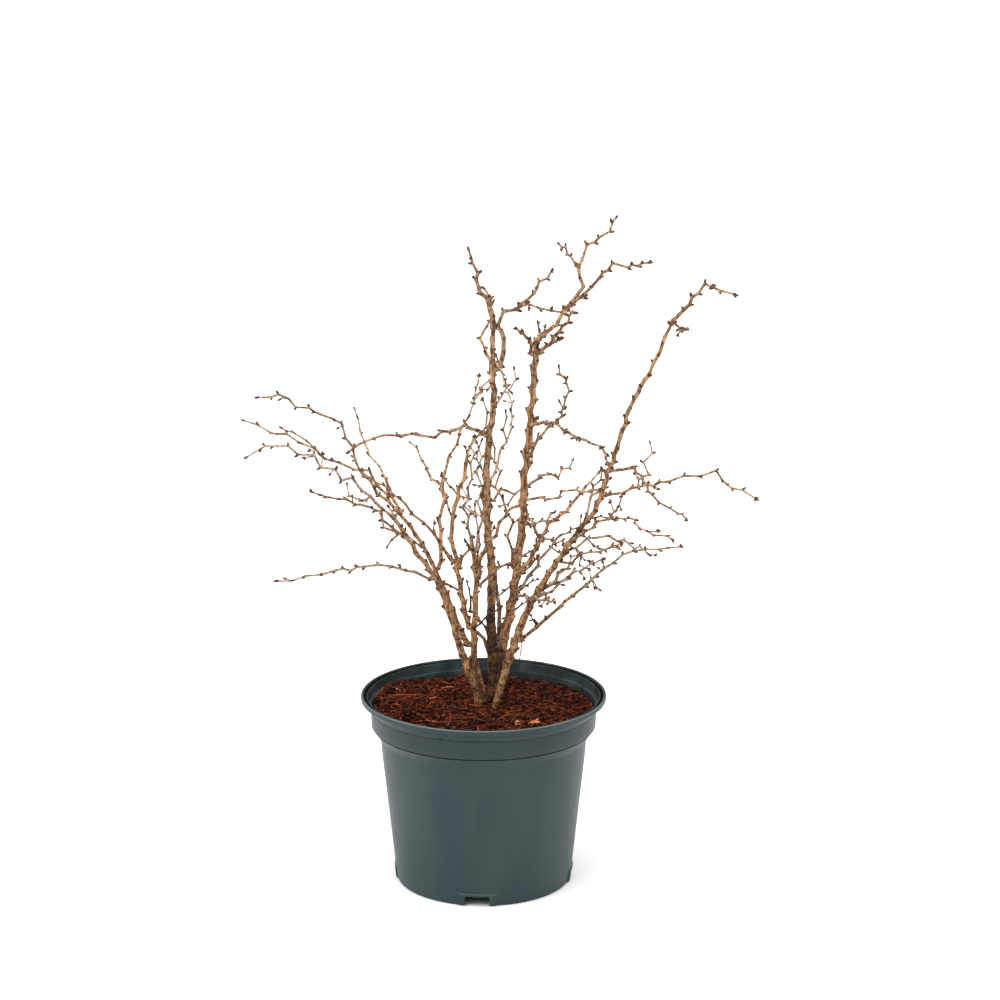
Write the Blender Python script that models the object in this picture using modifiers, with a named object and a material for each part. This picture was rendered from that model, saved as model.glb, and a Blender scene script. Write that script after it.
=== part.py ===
"""Potted ornamental cherry in winter: a bare shrub of many stems in a nursery pot.

Metres, +Z up. The origin is the middle of the pot's flat underside, and +Y points
away from the side that the shrub is seen from. Sizes are named in millimetres and
multiplied by MM, or turned into metres where a piece is made.
"""

import math
import random

import bmesh
import bpy
import numpy as np
from mathutils import Matrix, Vector

MM = 0.001

# Pot, in millimetres: a 3 litre nursery pot with a turned-out lip over a collar
RIM_RADIUS = 95.0
POT_HEIGHT = 149.0
LIP_WIDTH = 2.6
LIP_DEPTH = 3.6
COLLAR_TOP = 139.5
COLLAR_BOTTOM = 124.0
COLLAR_RADIUS = 87.4
BODY_TOP = 113.0
BODY_TOP_RADIUS = 80.2
FOOT_RADIUS = 68.4
WALL = 1.6
FLOOR = 1.8
CHANNEL_HEIGHT = 7.0
CHANNEL_INNER = 48.0
POT_STEPS = 40

# Four notches in the pot's foot, each in a raised surround, and eight drain holes
NOTCH_COUNT = 4
NOTCH_TURN = -94.0
NOTCH_WIDTH = 18.0
NOTCH_HEIGHT = 6.4
SURROUND_WIDTH = 30.0
SURROUND_BOTTOM = 0.8
SURROUND_TOP = 9.4
SURROUND_PROUD = 1.0
HOLE_COUNT = 8
HOLE_RADIUS = 4.5
HOLE_RING = 57.0

# What the pot is filled with, in millimetres
COMPOST_TOP = 130.0
MULCH_TOP = 139.0
MULCH_FALL = 3.0
MULCH_ROUGHNESS = 1.3
MULCH_CLEARING = 30.0
CHIP_COUNT = 16
CHIP_SIZE = (13.0, 4.6, 2.6)

# The shrub, in millimetres
CLEAR = 0.4
STEM_SPACING = 17.0
TWIG_SPACING = 12.0
STEM_ZIGZAG = 0.55
TWIG_ZIGZAG = 1.1
SPUR_LENGTH = (4.0, 9.0)
SPUR_RADIUS = 0.55
SPUR_SHARE = 0.2
BUD_SHARE = 0.5
BUD_LENGTH = 4.2
BUD_WIDTH = 2.7
STOOL_SIDES = 12
STEM_SIDES = 6
TWIG_SIDES = 3
FLARE_HEIGHT = 7.0
FOOT_RISE = 3.0

COLOURS = {
    "pot": (0.066, 0.094, 0.098),
    "compost": (0.030, 0.018, 0.013),
    "mulch": (0.110, 0.028, 0.013),
    "old bark": (0.180, 0.095, 0.048),
    "young bark": (0.330, 0.190, 0.100),
}


# Scene and materials

def empty_scene():
    for item in list(bpy.data.objects):
        bpy.data.objects.remove(item, do_unlink=True)


def new_collection(name):
    group = bpy.data.collections.new(name)
    bpy.context.scene.collection.children.link(group)
    return group


def material_for(piece, colour, roughness):
    material = bpy.data.materials.new(piece.name)
    material.use_nodes = True
    shader = material.node_tree.nodes["Principled BSDF"]
    shader.inputs["Base Color"].default_value = (*COLOURS[colour], 1.0)
    shader.inputs["Roughness"].default_value = roughness
    shader.inputs["Metallic"].default_value = 0.0
    piece.data.materials.clear()
    piece.data.materials.append(material)


def smooth_shading(piece, sharp_degrees=40.0):
    piece.data.shade_smooth()
    piece.data.set_sharp_from_angle(angle=math.radians(sharp_degrees))


def object_from(mesh, name, group):
    piece = bpy.data.objects.new(name, mesh)
    group.objects.link(piece)
    return piece


def as_mesh_object(piece, name, group):
    """The piece as Blender evaluates it, with its loose caps welded, in its own mesh."""
    bpy.context.view_layer.update()
    evaluated = piece.evaluated_get(bpy.context.evaluated_depsgraph_get())
    mesh = bpy.data.meshes.new_from_object(evaluated)
    shape = bmesh.new()
    shape.from_mesh(mesh)
    bmesh.ops.remove_doubles(shape, verts=shape.verts, dist=1e-6)
    bmesh.ops.recalc_face_normals(shape, faces=shape.faces)
    shape.to_mesh(mesh)
    shape.free()
    made = object_from(mesh, name + "_made", group)
    made.matrix_world = piece.matrix_world
    bpy.data.objects.remove(piece, do_unlink=True)
    made.name = name
    return made


def boolean(piece, operation, group):
    """One Boolean of the piece with all of a group's objects, which are then removed."""
    modifier = piece.modifiers.new(operation.title(), "BOOLEAN")
    modifier.operation = operation
    modifier.operand_type = "COLLECTION"
    modifier.collection = group
    modifier.solver = "EXACT"
    bpy.context.view_layer.update()
    evaluated = piece.evaluated_get(bpy.context.evaluated_depsgraph_get())
    mesh = bpy.data.meshes.new_from_object(evaluated)
    piece.modifiers.remove(modifier)
    piece.data = mesh
    for item in list(group.objects):
        bpy.data.objects.remove(item, do_unlink=True)


# Pot

def wall_radius(height):
    """The outside of the pot's tapering body at a height."""
    share = (height - 3.0) / (BODY_TOP - 3.0)
    return FOOT_RADIUS + (BODY_TOP_RADIUS - FOOT_RADIUS) * share


def fillet(centre, radius, start, end, steps):
    """Points of a round corner, with its angles in degrees."""
    points = []
    for step in range(steps + 1):
        angle = math.radians(start + (end - start) * step / steps)
        points.append((centre[0] + radius * math.cos(angle), centre[1] + radius * math.sin(angle)))
    return points


def outer_side():
    """The pot's outside from the lip's top down to the foot."""
    lip_round = 0.9
    under_lip = POT_HEIGHT - LIP_DEPTH
    side = fillet((RIM_RADIUS - lip_round, POT_HEIGHT - lip_round), lip_round, 90.0, 0.0, 2)
    side.append((RIM_RADIUS, under_lip))
    side.append((RIM_RADIUS - 1.6, under_lip - 0.6))
    side.append((RIM_RADIUS - 4.4, under_lip - 2.6))
    side.append((COLLAR_RADIUS + 0.9, COLLAR_TOP))
    side.append((COLLAR_RADIUS, COLLAR_TOP - 4.5))
    side.append((COLLAR_RADIUS - 0.5, COLLAR_BOTTOM))
    side.append((COLLAR_RADIUS - 1.6, COLLAR_BOTTOM - 3.2))
    side.append((BODY_TOP_RADIUS + 2.2, BODY_TOP + 3.4))
    side.append((BODY_TOP_RADIUS, BODY_TOP))
    side.append((wall_radius(58.0), 58.0))
    side.append((wall_radius(3.0), 3.0))
    side.append((FOOT_RADIUS - 0.9, 0.6))
    side.append((FOOT_RADIUS - 1.6, 0.0))
    return side


def underside():
    """From the foot's inner edge to the flat middle."""
    foot_inner = FOOT_RADIUS - 1.6 - WALL
    return [
        (foot_inner, 0.0),
        (foot_inner + 0.5, CHANNEL_HEIGHT),
        (CHANNEL_INNER + 1.6, CHANNEL_HEIGHT),
        (CHANNEL_INNER, 0.0),
        (0.0, 0.0),
    ]


def inner_side(inset=0.0):
    """From the middle of the floor up to the lip's inner edge, or clear of it by an inset."""
    floor = FLOOR + inset
    channel = CHANNEL_HEIGHT + FLOOR + inset
    shift = WALL + inset
    return [
        (0.0, floor),
        (CHANNEL_INNER - WALL - inset, floor),
        (CHANNEL_INNER + 0.2 - inset, channel),
        (wall_radius(channel) - shift, channel),
        (wall_radius(58.0) - shift, 58.0),
        (BODY_TOP_RADIUS - shift, BODY_TOP),
        (BODY_TOP_RADIUS + 2.0 - shift, BODY_TOP + 3.8),
        (COLLAR_RADIUS - 1.6 - shift, COLLAR_BOTTOM - 2.8),
        (COLLAR_RADIUS - 0.5 - shift, COLLAR_BOTTOM),
        (COLLAR_RADIUS - shift, COLLAR_TOP - 4.5),
        (COLLAR_RADIUS + 0.9 - shift, COLLAR_TOP + 0.6),
        (RIM_RADIUS - 5.6 - inset, POT_HEIGHT - 4.8),
        (RIM_RADIUS - LIP_WIDTH - 0.5 - inset, POT_HEIGHT - 0.8),
        (RIM_RADIUS - LIP_WIDTH - inset, POT_HEIGHT),
    ]


def turned(name, profile, group):
    """A solid turned about Z from a profile of (radius, height) in millimetres."""
    mesh = bpy.data.meshes.new(name)
    points = [(radius * MM, 0.0, height * MM) for radius, height in profile]
    edges = [(index, index + 1) for index in range(len(points) - 1)]
    mesh.from_pydata(points, edges, [])
    piece = object_from(mesh, name, group)
    screw = piece.modifiers.new("Turn", "SCREW")
    screw.axis = "Z"
    screw.steps = POT_STEPS
    screw.render_steps = POT_STEPS
    screw.use_merge_vertices = True
    screw.merge_threshold = 0.00002
    return as_mesh_object(piece, name, group)


def wrapped_slab(inner, outer, width, bottom, top, turn, group):
    """A slab bent round the pot's wall, from one distance off the wall to another."""
    shape = bmesh.new()
    bmesh.ops.create_cube(shape, size=1.0)
    long_edges = [edge for edge in shape.edges if abs(edge.verts[0].co.y - edge.verts[1].co.y) > 0.5]
    bmesh.ops.subdivide_edges(shape, edges=long_edges, cuts=3, use_grid_fill=True)
    for vertex in shape.verts:
        height = bottom + (top - bottom) * (vertex.co.z + 0.5)
        radius = wall_radius(height) + inner + (outer - inner) * (vertex.co.x + 0.5)
        angle = turn + vertex.co.y * width / FOOT_RADIUS
        vertex.co = Vector((radius * math.cos(angle), radius * math.sin(angle), height)) * MM
    mesh = bpy.data.meshes.new("slab")
    shape.to_mesh(mesh)
    shape.free()
    return object_from(mesh, "slab", group)


def block(size, place, turn, group):
    """A box by its size and middle in millimetres, turned about Z by radians."""
    bpy.ops.mesh.primitive_cube_add(size=1.0)
    piece = bpy.context.active_object
    for holder in list(piece.users_collection):
        holder.objects.unlink(piece)
    group.objects.link(piece)
    scale = Matrix.Diagonal((*[side * MM for side in size], 1.0))
    move = Matrix.Translation(Vector(place) * MM)
    piece.data.transform(Matrix.Rotation(turn, 4, "Z") @ move @ scale)
    return piece


def make_pot(group, cutters):
    pot = turned("pot", inner_side() + outer_side() + underside(), group)
    for number in range(NOTCH_COUNT):
        turn = math.radians(NOTCH_TURN + 360.0 * number / NOTCH_COUNT)
        wrapped_slab(-WALL / 2, SURROUND_PROUD, SURROUND_WIDTH, SURROUND_BOTTOM, SURROUND_TOP,
                     turn, cutters)
    boolean(pot, "UNION", cutters)
    for number in range(NOTCH_COUNT):
        turn = math.radians(NOTCH_TURN + 360.0 * number / NOTCH_COUNT)
        block((12.0, NOTCH_WIDTH, NOTCH_HEIGHT + 2.0), (FOOT_RADIUS, 0.0, NOTCH_HEIGHT / 2 - 1.0),
              turn, cutters)
    for number in range(HOLE_COUNT):
        turn = math.radians(NOTCH_TURN + 360.0 * (number + 0.5) / HOLE_COUNT)
        bpy.ops.mesh.primitive_cylinder_add(vertices=12, radius=HOLE_RADIUS * MM, depth=6.0 * MM)
        hole = bpy.context.active_object
        place = (HOLE_RING * math.cos(turn), HOLE_RING * math.sin(turn), CHANNEL_HEIGHT + 1.0)
        hole.data.transform(Matrix.Translation(Vector(place) * MM))
        for holder in list(hole.users_collection):
            holder.objects.unlink(hole)
        cutters.objects.link(hole)
    boolean(pot, "DIFFERENCE", cutters)
    material_for(pot, "pot", 0.45)
    smooth_shading(pot)


# Compost and mulch

def make_compost(group):
    inside = [point for point in inner_side(CLEAR) if point[1] < COMPOST_TOP]
    top_radius = COLLAR_RADIUS - 0.3 - WALL - CLEAR
    profile = inside + [(top_radius, COMPOST_TOP), (0.0, COMPOST_TOP)]
    compost = turned("compost", profile, group)
    material_for(compost, "compost", 0.95)
    smooth_shading(compost, 30.0)


def ripple(x, y):
    """A smooth uneven surface between -1 and 1, from a few crossing waves."""
    waves = ((0.21, 0.07, 0.4), (-0.09, 0.24, 1.9), (0.33, -0.19, 3.1), (0.15, 0.36, 5.2))
    return sum(math.sin(a * x + b * y + phase) for a, b, phase in waves) / len(waves)


def mulch_height(x, y):
    """Top of the mulch: a low heap, uneven away from the stems and level round them."""
    distance = math.hypot(x, y - 5.0)
    rough = min(1.0, max(0.0, (distance - MULCH_CLEARING) / 12.0))
    edge_radius = COLLAR_RADIUS - WALL - CLEAR
    fall = MULCH_FALL * max(0.0, (distance - MULCH_CLEARING) / (edge_radius - MULCH_CLEARING))
    return MULCH_TOP - fall + MULCH_ROUGHNESS * rough * ripple(x, y)


def make_mulch(group, cutters):
    edge = COLLAR_RADIUS - WALL - CLEAR - 0.1
    rings = [(edge, COMPOST_TOP + CLEAR), (0.0, COMPOST_TOP + CLEAR)]
    tops = [(edge * step / 7.0, MULCH_TOP) for step in range(8)]
    mulch = turned("bark_mulch", tops + rings, group)
    for vertex in mulch.data.vertices:
        x, y, z = [value / MM for value in vertex.co]
        if z > MULCH_TOP - 0.5:
            vertex.co.z = mulch_height(x, y) * MM
    chance = random.Random(7)
    for number in range(CHIP_COUNT):
        turn = number * math.radians(137.5)
        radius = MULCH_CLEARING + (edge - MULCH_CLEARING - 12.0) * math.sqrt((number + 0.5) / CHIP_COUNT)
        x, y = radius * math.cos(turn), radius * math.sin(turn)
        chip = block([side * chance.uniform(0.75, 1.2) for side in CHIP_SIZE], (0, 0, 0), 0.0, cutters)
        tilt = Matrix.Rotation(chance.uniform(-0.35, 0.35), 4, "X")
        pitch = Matrix.Rotation(chance.uniform(-0.22, 0.22), 4, "Y")
        spin = Matrix.Rotation(chance.uniform(0.0, math.pi), 4, "Z")
        place = Matrix.Translation(Vector((x, y, mulch_height(x, y) + 0.2)) * MM)
        chip.data.transform(place @ spin @ pitch @ tilt)
    boolean(mulch, "UNION", cutters)
    material_for(mulch, "mulch", 0.9)


# Growing the shrub: each limb is a line of points with a radius at each

class Limb:
    def __init__(self, name, points, radii):
        self.name = name
        self.points = points
        self.radii = radii
        self.arms = []
        self.buds = []


def smooth_line(knots, spacing):
    """A smooth line through the knots, in steps of about one spacing."""
    fine = []
    ends = [knots[0] * 2 - knots[1]] + knots + [knots[-1] * 2 - knots[-2]]
    for a, b, c, d in zip(ends, ends[1:], ends[2:], ends[3:]):
        for step in range(10):
            t = step / 10.0
            fine.append(0.5 * (2 * b + (c - a) * t + (2 * a - 5 * b + 4 * c - d) * t * t
                               + (3 * b - a - 3 * c + d) * t * t * t))
    fine.append(knots[-1])
    lengths = [0.0]
    for first, second in zip(fine, fine[1:]):
        lengths.append(lengths[-1] + (second - first).length)
    count = max(2, round(lengths[-1] / spacing))
    line = []
    for step in range(count + 1):
        wanted = lengths[-1] * step / count
        index = max(i for i, length in enumerate(lengths) if length <= wanted + 1e-9)
        index = min(index, len(fine) - 2)
        share = (wanted - lengths[index]) / max(1e-9, lengths[index + 1] - lengths[index])
        line.append(fine[index].lerp(fine[index + 1], share))
    return line


def sideways(direction):
    """Two directions square to the given one and to each other."""
    guide = Vector((0, 0, 1)) if abs(direction.z) < 0.8 else Vector((1, 0, 0))
    first = direction.cross(guide).normalized()
    return first, direction.cross(first).normalized()


def zigzag(line, amount, chance):
    """The line with its inner points set off to one side and the other by turns."""
    turn = chance.uniform(0, 2 * math.pi)
    bent = [line[0].copy()]
    for index in range(1, len(line) - 1):
        along = (line[index + 1] - line[index - 1]).normalized()
        first, second = sideways(along)
        turn += math.pi + chance.uniform(-0.7, 0.7)
        size = amount * chance.uniform(0.6, 1.3)
        bent.append(line[index] + size * (first * math.cos(turn) + second * math.sin(turn)))
    bent.append(line[-1].copy())
    return bent


def tapered(count, root, tip):
    return [root + (tip - root) * (index / (count - 1)) ** 0.85 for index in range(count)]


def segment_distances(p, q, starts, ends):
    """Shortest distances from the segment p-q to many segments at once."""
    u = q - p
    v = ends - starts
    w = p - starts
    a = u @ u
    b = v @ u
    c = np.einsum("ij,ij->i", v, v)
    d = w @ u
    e = np.einsum("ij,ij->i", v, w)
    spread = a * c - b * b
    s = np.where(spread > 1e-9, (b * e - c * d) / np.maximum(spread, 1e-9), 0.0)
    s = np.clip(s, 0.0, 1.0)
    t = np.clip((b * s + e) / np.maximum(c, 1e-9), 0.0, 1.0)
    s = np.clip((b * t - d) / max(a, 1e-9), 0.0, 1.0)
    near = w + s[:, None] * u - t[:, None] * v
    return np.sqrt(np.einsum("ij,ij->i", near, near))


class Thicket:
    """Every limb grown so far, as segments with a radius, for keeping limbs apart."""

    def __init__(self):
        self.starts = []
        self.ends = []
        self.sizes = []
        self.owners = []

    def add(self, owner, points, radii):
        for index in range(len(points) - 1):
            self.starts.append(points[index])
            self.ends.append(points[index + 1])
            self.sizes.append(max(radii[index], radii[index + 1]))
            self.owners.append(owner)

    def clear(self, owner, parent, points, radii):
        """True where a line keeps its distance; near its root the parent doesn't count."""
        starts = np.array(self.starts)
        ends = np.array(self.ends)
        sizes = np.array(self.sizes)
        others = np.array([name != owner for name in self.owners])
        for index in range(len(points) - 1):
            size = max(radii[index], radii[index + 1])
            counted = others
            if index == 0:
                counted = others & np.array([name != parent for name in self.owners])
            if not counted.any():
                continue
            gaps = segment_distances(np.array(points[index]), np.array(points[index + 1]),
                                     starts[counted], ends[counted])
            if (gaps < sizes[counted] + size * 1.08 + CLEAR).any():
                return False
        return True


class Shrub:
    def __init__(self):
        self.limbs = {}
        self.thicket = Thicket()

    def rooted(self, name, through, radii, flare=0.0):
        """A limb from its flat cut on the mulch."""
        knots = [Vector(point) for point in through]
        knots[0].z = MULCH_TOP + CLEAR
        chance = random.Random(name)
        line = smooth_line([knots[0] + Vector((0, 0, FOOT_RISE))] + knots[1:], STEM_SPACING * 0.6)
        points = [knots[0]] + zigzag(line, STEM_ZIGZAG, chance)
        sizes = tapered(len(points), *radii)
        for index, point in enumerate(points):
            sizes[index] += flare * math.exp(-(point.z - knots[0].z) / FLARE_HEIGHT)
        self.keep(Limb(name, points, sizes))

    def keep(self, limb):
        self.limbs[limb.name] = limb
        self.thicket.add(limb.name, limb.points, limb.radii)

    def fork(self, parent, wanted, towards, radius):
        """Where a limb leaves its parent: just clear of the bark, on the side it heads for."""
        points = parent.points
        best = None
        for index in range(len(points) - 1):
            along = points[index + 1] - points[index]
            share = (wanted - points[index]).dot(along) / along.length_squared
            share = min(1.0, max(0.0, share))
            place = points[index] + along * share
            distance = (wanted - place).length
            if best is None or distance < best[0] - 1e-6:
                thickness = parent.radii[index] + (parent.radii[index + 1] - parent.radii[index]) * share
                best = (distance, place, along.normalized(), thickness, index + share)
        _, place, along, thickness, position = best
        heading = (towards - place).normalized()
        if position > len(points) - 1 - 0.02:
            across = heading - along * heading.dot(along)
            offset = max(0.0, thickness - radius * 0.3) if thickness > 4.0 else 0.0
            start = points[-1] + along * CLEAR + across.normalized() * offset
            return [start, start + along * (thickness + radius * 1.1 + 0.1)]
        across = heading - along * heading.dot(along)
        across.normalize()
        lean = min(0.55, max(-0.3, heading.dot(along)))
        leave = (across * math.sqrt(1 - lean * lean) + along * lean).normalized()
        rise = (thickness + CLEAR + radius * abs(lean)) / leave.dot(across)
        start = place + leave * rise
        return [start, start + leave * (radius * 1.2 + 1.0)]

    def grow(self, name, parent, through, radii, spacing, amount, owner=None):
        """A limb that leaves its parent near the first knot and runs through the others."""
        owner = owner or name
        source = self.limbs[parent]
        wanted = [Vector(point) for point in through]
        chance = random.Random(name)
        for attempt in range(60):
            knots = [point.copy() for point in wanted]
            nudge = attempt * 0.22
            for index in range(len(knots)):
                last = index == len(knots) - 1
                size = nudge * (0.35 if last else 1.0)
                knots[index] += Vector([chance.uniform(-size, size) for _ in range(3)])
            root = self.fork(source, knots[0], knots[1], radii[0])
            line = smooth_line([root[1]] + knots[1:], spacing)
            points = [root[0]] + zigzag(line, amount, chance)
            sizes = tapered(len(points), *radii)
            if self.thicket.clear(owner, parent, points, sizes):
                limb = Limb(name, points, sizes)
                self.keep(limb)
                return limb
        print("no room for", name)
        return None

    def stem(self, name, parent, through, radii):
        self.grow(name, parent, through, radii, STEM_SPACING, STEM_ZIGZAG)

    def mass(self, name, parent, through, arms=(), root=1.15):
        """A mass of twigs: one stem, its arms, and short spurs and buds by a seeded rule."""
        limb = self.grow(name, parent, through, (root, 0.62), TWIG_SPACING, TWIG_ZIGZAG)
        if limb is None:
            return
        chance = random.Random(name + " twigs")
        self.end_bud(limb.points, limb.radii)
        lines = [(limb.points, limb.radii)]
        for arm in arms:
            made = self.arm(name, limb, arm, chance)
            if made:
                lines.append(made)
        for points, radii in list(lines):
            self.spurs(name, limb, points, radii, chance)

    def end_bud(self, points, radii):
        """A bud swells at the end of a twig."""
        along = (points[-1] - points[-2]).normalized()
        tip = points[-1]
        swell = BUD_WIDTH / 2
        for step, size in ((0.42, swell), (1.0, 0.15)):
            points.append(tip + along * BUD_LENGTH * step)
            radii.append(size)

    def arm(self, name, limb, through, chance):
        """A side twig of a mass, fused to its stem."""
        wanted = [Vector(point) for point in through]
        nearest = min(limb.points[:-2], key=lambda point: (point - wanted[0]).length)
        root = limb.radii[limb.points.index(nearest)] * 0.85
        for attempt in range(40):
            size = attempt * 0.25
            knots = [nearest.copy()]
            for point in wanted[1:]:
                knots.append(point + Vector([chance.uniform(-size, size) for _ in range(3)]))
            points = zigzag(smooth_line(knots, TWIG_SPACING), TWIG_ZIGZAG, chance)
            radii = tapered(len(points), max(0.62, root), 0.58)
            if self.thicket.clear(name, name, points, radii):
                self.end_bud(points, radii)
                self.thicket.add(name, points, radii)
                limb.arms.append((points, radii))
                return points, radii
        print("no room for an arm of", name)
        return None

    def spurs(self, name, limb, points, radii, chance):
        """Buds by turns at the nodes, and now and then a spur that ends in a bud."""
        turn = chance.uniform(0, 2 * math.pi)
        for index in range(1, len(points) - 3):
            along = (points[index + 1] - points[index - 1]).normalized()
            first, second = sideways(along)
            turn += math.radians(137.5)
            out = first * math.cos(turn) + second * math.sin(turn)
            leave = (out + along * 0.75).normalized()
            if chance.random() < SPUR_SHARE:
                length = chance.uniform(*SPUR_LENGTH)
                spur = [points[index], points[index] + leave * length]
                sizes = [SPUR_RADIUS, SPUR_RADIUS * 0.9]
                self.end_bud(spur, sizes)
                if self.thicket.clear(name, name, spur, sizes):
                    self.thicket.add(name, spur, sizes)
                    limb.arms.append((spur, sizes))
            elif chance.random() < BUD_SHARE:
                base = points[index] + leave * radii[index] * 0.2
                line = [base, base + leave * BUD_LENGTH]
                if self.thicket.clear(name, name, line, [BUD_WIDTH / 2] * 2):
                    self.thicket.add(name, line, [BUD_WIDTH / 2] * 2)
                    limb.buds.append((base, leave))


# The shrub's plan: where each limb forks, bends and ends, in millimetres

def plan_stems(shrub):
    shrub.rooted("stool_left", [(-2, 3, 139), (-4, 3, 150), (-8, 2, 165)], (5.2, 4.6), 1.6)
    shrub.rooted("stool_centre", [(9, 17, 139), (10, 17, 158), (10, 17, 178)], (7.0, 6.0), 1.6)
    shrub.rooted("stem_leaning", [(8, -6, 139), (14, -5, 161), (25, -4, 193), (33, -6, 216),
                                  (43, -8, 235), (58, -10, 259), (66, -12, 273), (79, -14, 290),
                                  (88, -16, 306), (93, -17, 324), (100, -19, 346), (111, -22, 382),
                                  (126, -25, 410), (139, -28, 442)], (3.3, 1.45), 1.6)
    shrub.stem("stem_left_outer", "stool_left", [(-8, 2, 166), (-18, -2, 184), (-26, -6, 216),
                                                 (-35, -10, 242), (-42, -12, 255), (-55, -14, 269),
                                                 (-60, -15, 281), (-68, -16, 292)], (3.0, 1.3))
    shrub.stem("stem_left_inner", "stool_left", [(-8, 2, 166), (-9, 4, 184), (-7, 6, 207),
                                                 (-5, 2, 235), (-9, -7, 272)], (2.8, 1.6))
    shrub.stem("stem_left_second", "stem_left_inner", [(-9, 5, 184), (-21, 9, 206), (-27, 12, 221),
                                                       (-34, 14, 236), (-39, 17, 247), (-49, 20, 266),
                                                       (-58, 22, 278), (-68, 24, 290), (-80, 26, 300)],
               (2.1, 1.2))
    shrub.stem("stem_left_tall", "stem_left_inner", [(-10, 5, 197), (-16, 12, 220), (-21, 20, 246),
                                                     (-25, 34, 277), (-20, 42, 295), (-15, 50, 311),
                                                     (-13, 56, 324)], (2.2, 1.3))
    shrub.stem("stem_centre", "stool_centre", [(6, 17, 180), (5, 12, 206), (7, 9, 233), (4, 5, 270),
                                               (1, 1, 298), (3, -4, 327), (4, -8, 351), (7, -11, 371),
                                               (8, -15, 395), (7, -20, 418), (8, -24, 439)], (3.7, 1.6))
    shrub.stem("stem_right_tall", "stool_centre", [(11, 17, 180), (20, 21, 202), (24, 20, 230),
                                                   (28, 19, 262), (31, 18, 286), (31, 17, 306),
                                                   (33, 15, 334), (36, 13, 366), (38, 12, 389),
                                                   (40, 10, 419)], (3.8, 2.1))
    shrub.stem("stem_back", "stool_centre", [(11, 17, 168), (13, 36, 193), (11, 50, 211), (9, 66, 226),
                                             (5, 84, 246), (4, 100, 266), (4, 112, 286)], (1.8, 1.2))
    shrub.stem("bough_fan", "stem_left_second", [(-63, 23, 284), (-69, 32, 293), (-73, 39, 301),
                                                 (-76, 45, 308)], (1.4, 1.1))
    shrub.stem("bough_back_left", "stem_left_second", [(-35, 15, 242), (-33, 24, 259), (-34, 40, 281),
                                                       (-31, 48, 293), (-32, 60, 306),
                                                       (-28, 72, 318)], (1.6, 1.2))
    shrub.stem("bough_top_right", "stem_right_tall", [(40, 10, 419), (49, 13, 431), (67, 18, 452)],
               (1.8, 1.4))
    shrub.stem("bough_low_right", "stem_leaning", [(27, -4, 191), (38, -14, 204), (47, -22, 214),
                                                   (56, -30, 224), (62, -36, 234), (76, -46, 247)],
               (1.5, 1.1))
    shrub.stem("bough_right", "stem_right_tall", [(27, 19, 237), (34, 26, 246), (41, 33, 253),
                                                  (45, 42, 263), (53, 54, 274), (65, 66, 276),
                                                  (71, 76, 283), (78, 83, 290)], (1.7, 1.2))


def plan_left_masses(shrub):
    shrub.mass("mass_left_high", "stem_left_second", [(-80, 26, 301), (-87, 24, 311), (-93, 22, 316),
               (-100, 10, 339), (-108, -6, 364), (-133, -26, 379), (-152, -40, 392),
               (-166, -50, 392)])
    shrub.mass("mass_left_far", "stem_left_second", [(-74, 25, 295), (-79, 29, 306), (-89, 31, 317),
               (-123, 38, 327), (-140, 42, 339), (-176, 48, 349), (-186, 50, 354)],
               [[(-123, 40, 327), (-139, 28, 345), (-154, 17, 355)]])
    shrub.mass("mass_left_front", "stem_left_outer", [(-69, -16, 293), (-73, -18, 297),
               (-81, -22, 307), (-89, -27, 315), (-96, -33, 324), (-107, -46, 332),
               (-130, -66, 353), (-157, -82, 363), (-171, -90, 356)],
               [[(-81, -22, 307), (-87, -22, 306), (-99, -20, 310), (-103, -10, 317)]], 1.3)
    shrub.mass("mass_left_low", "stem_left_outer", [(-60, -15, 280), (-69, -24, 286),
               (-76, -38, 302), (-83, -48, 308), (-92, -62, 314), (-105, -86, 324),
               (-123, -113, 336)],
               [[(-64, -20, 282), (-74, -20, 286), (-78, -10, 294)],
                [(-66, -22, 284), (-69, -28, 278), (-72, -36, 275)]])
    shrub.mass("mass_left_back", "bough_fan", [(-77, 46, 309), (-87, 62, 321), (-95, 78, 332),
               (-103, 105, 352)])
    shrub.mass("mass_left_level", "stem_left_outer", [(-36, -10, 243), (-56, -22, 252),
               (-76, -36, 261), (-103, -52, 262), (-130, -66, 260), (-152, -79, 260)])
    shrub.mass("mass_left_crossing", "stem_left_tall", [(-21, 20, 248), (-34, 32, 262),
               (-46, 44, 274), (-58, 54, 280), (-67, 64, 289), (-78, 76, 294), (-96, 92, 303)],
               (), 1.5)
    shrub.mass("mass_back_left", "bough_back_left", [(-32, 56, 302), (-42, 72, 305),
               (-48, 90, 312), (-59, 116, 322)])
    shrub.mass("mass_back_left_top", "bough_back_left", [(-28, 72, 319), (-20, 82, 332),
               (-17, 92, 341), (-8, 104, 359), (-4, 119, 376)],
               [[(-8, 104, 359), (-3, 114, 366), (4, 126, 371)]])


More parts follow.
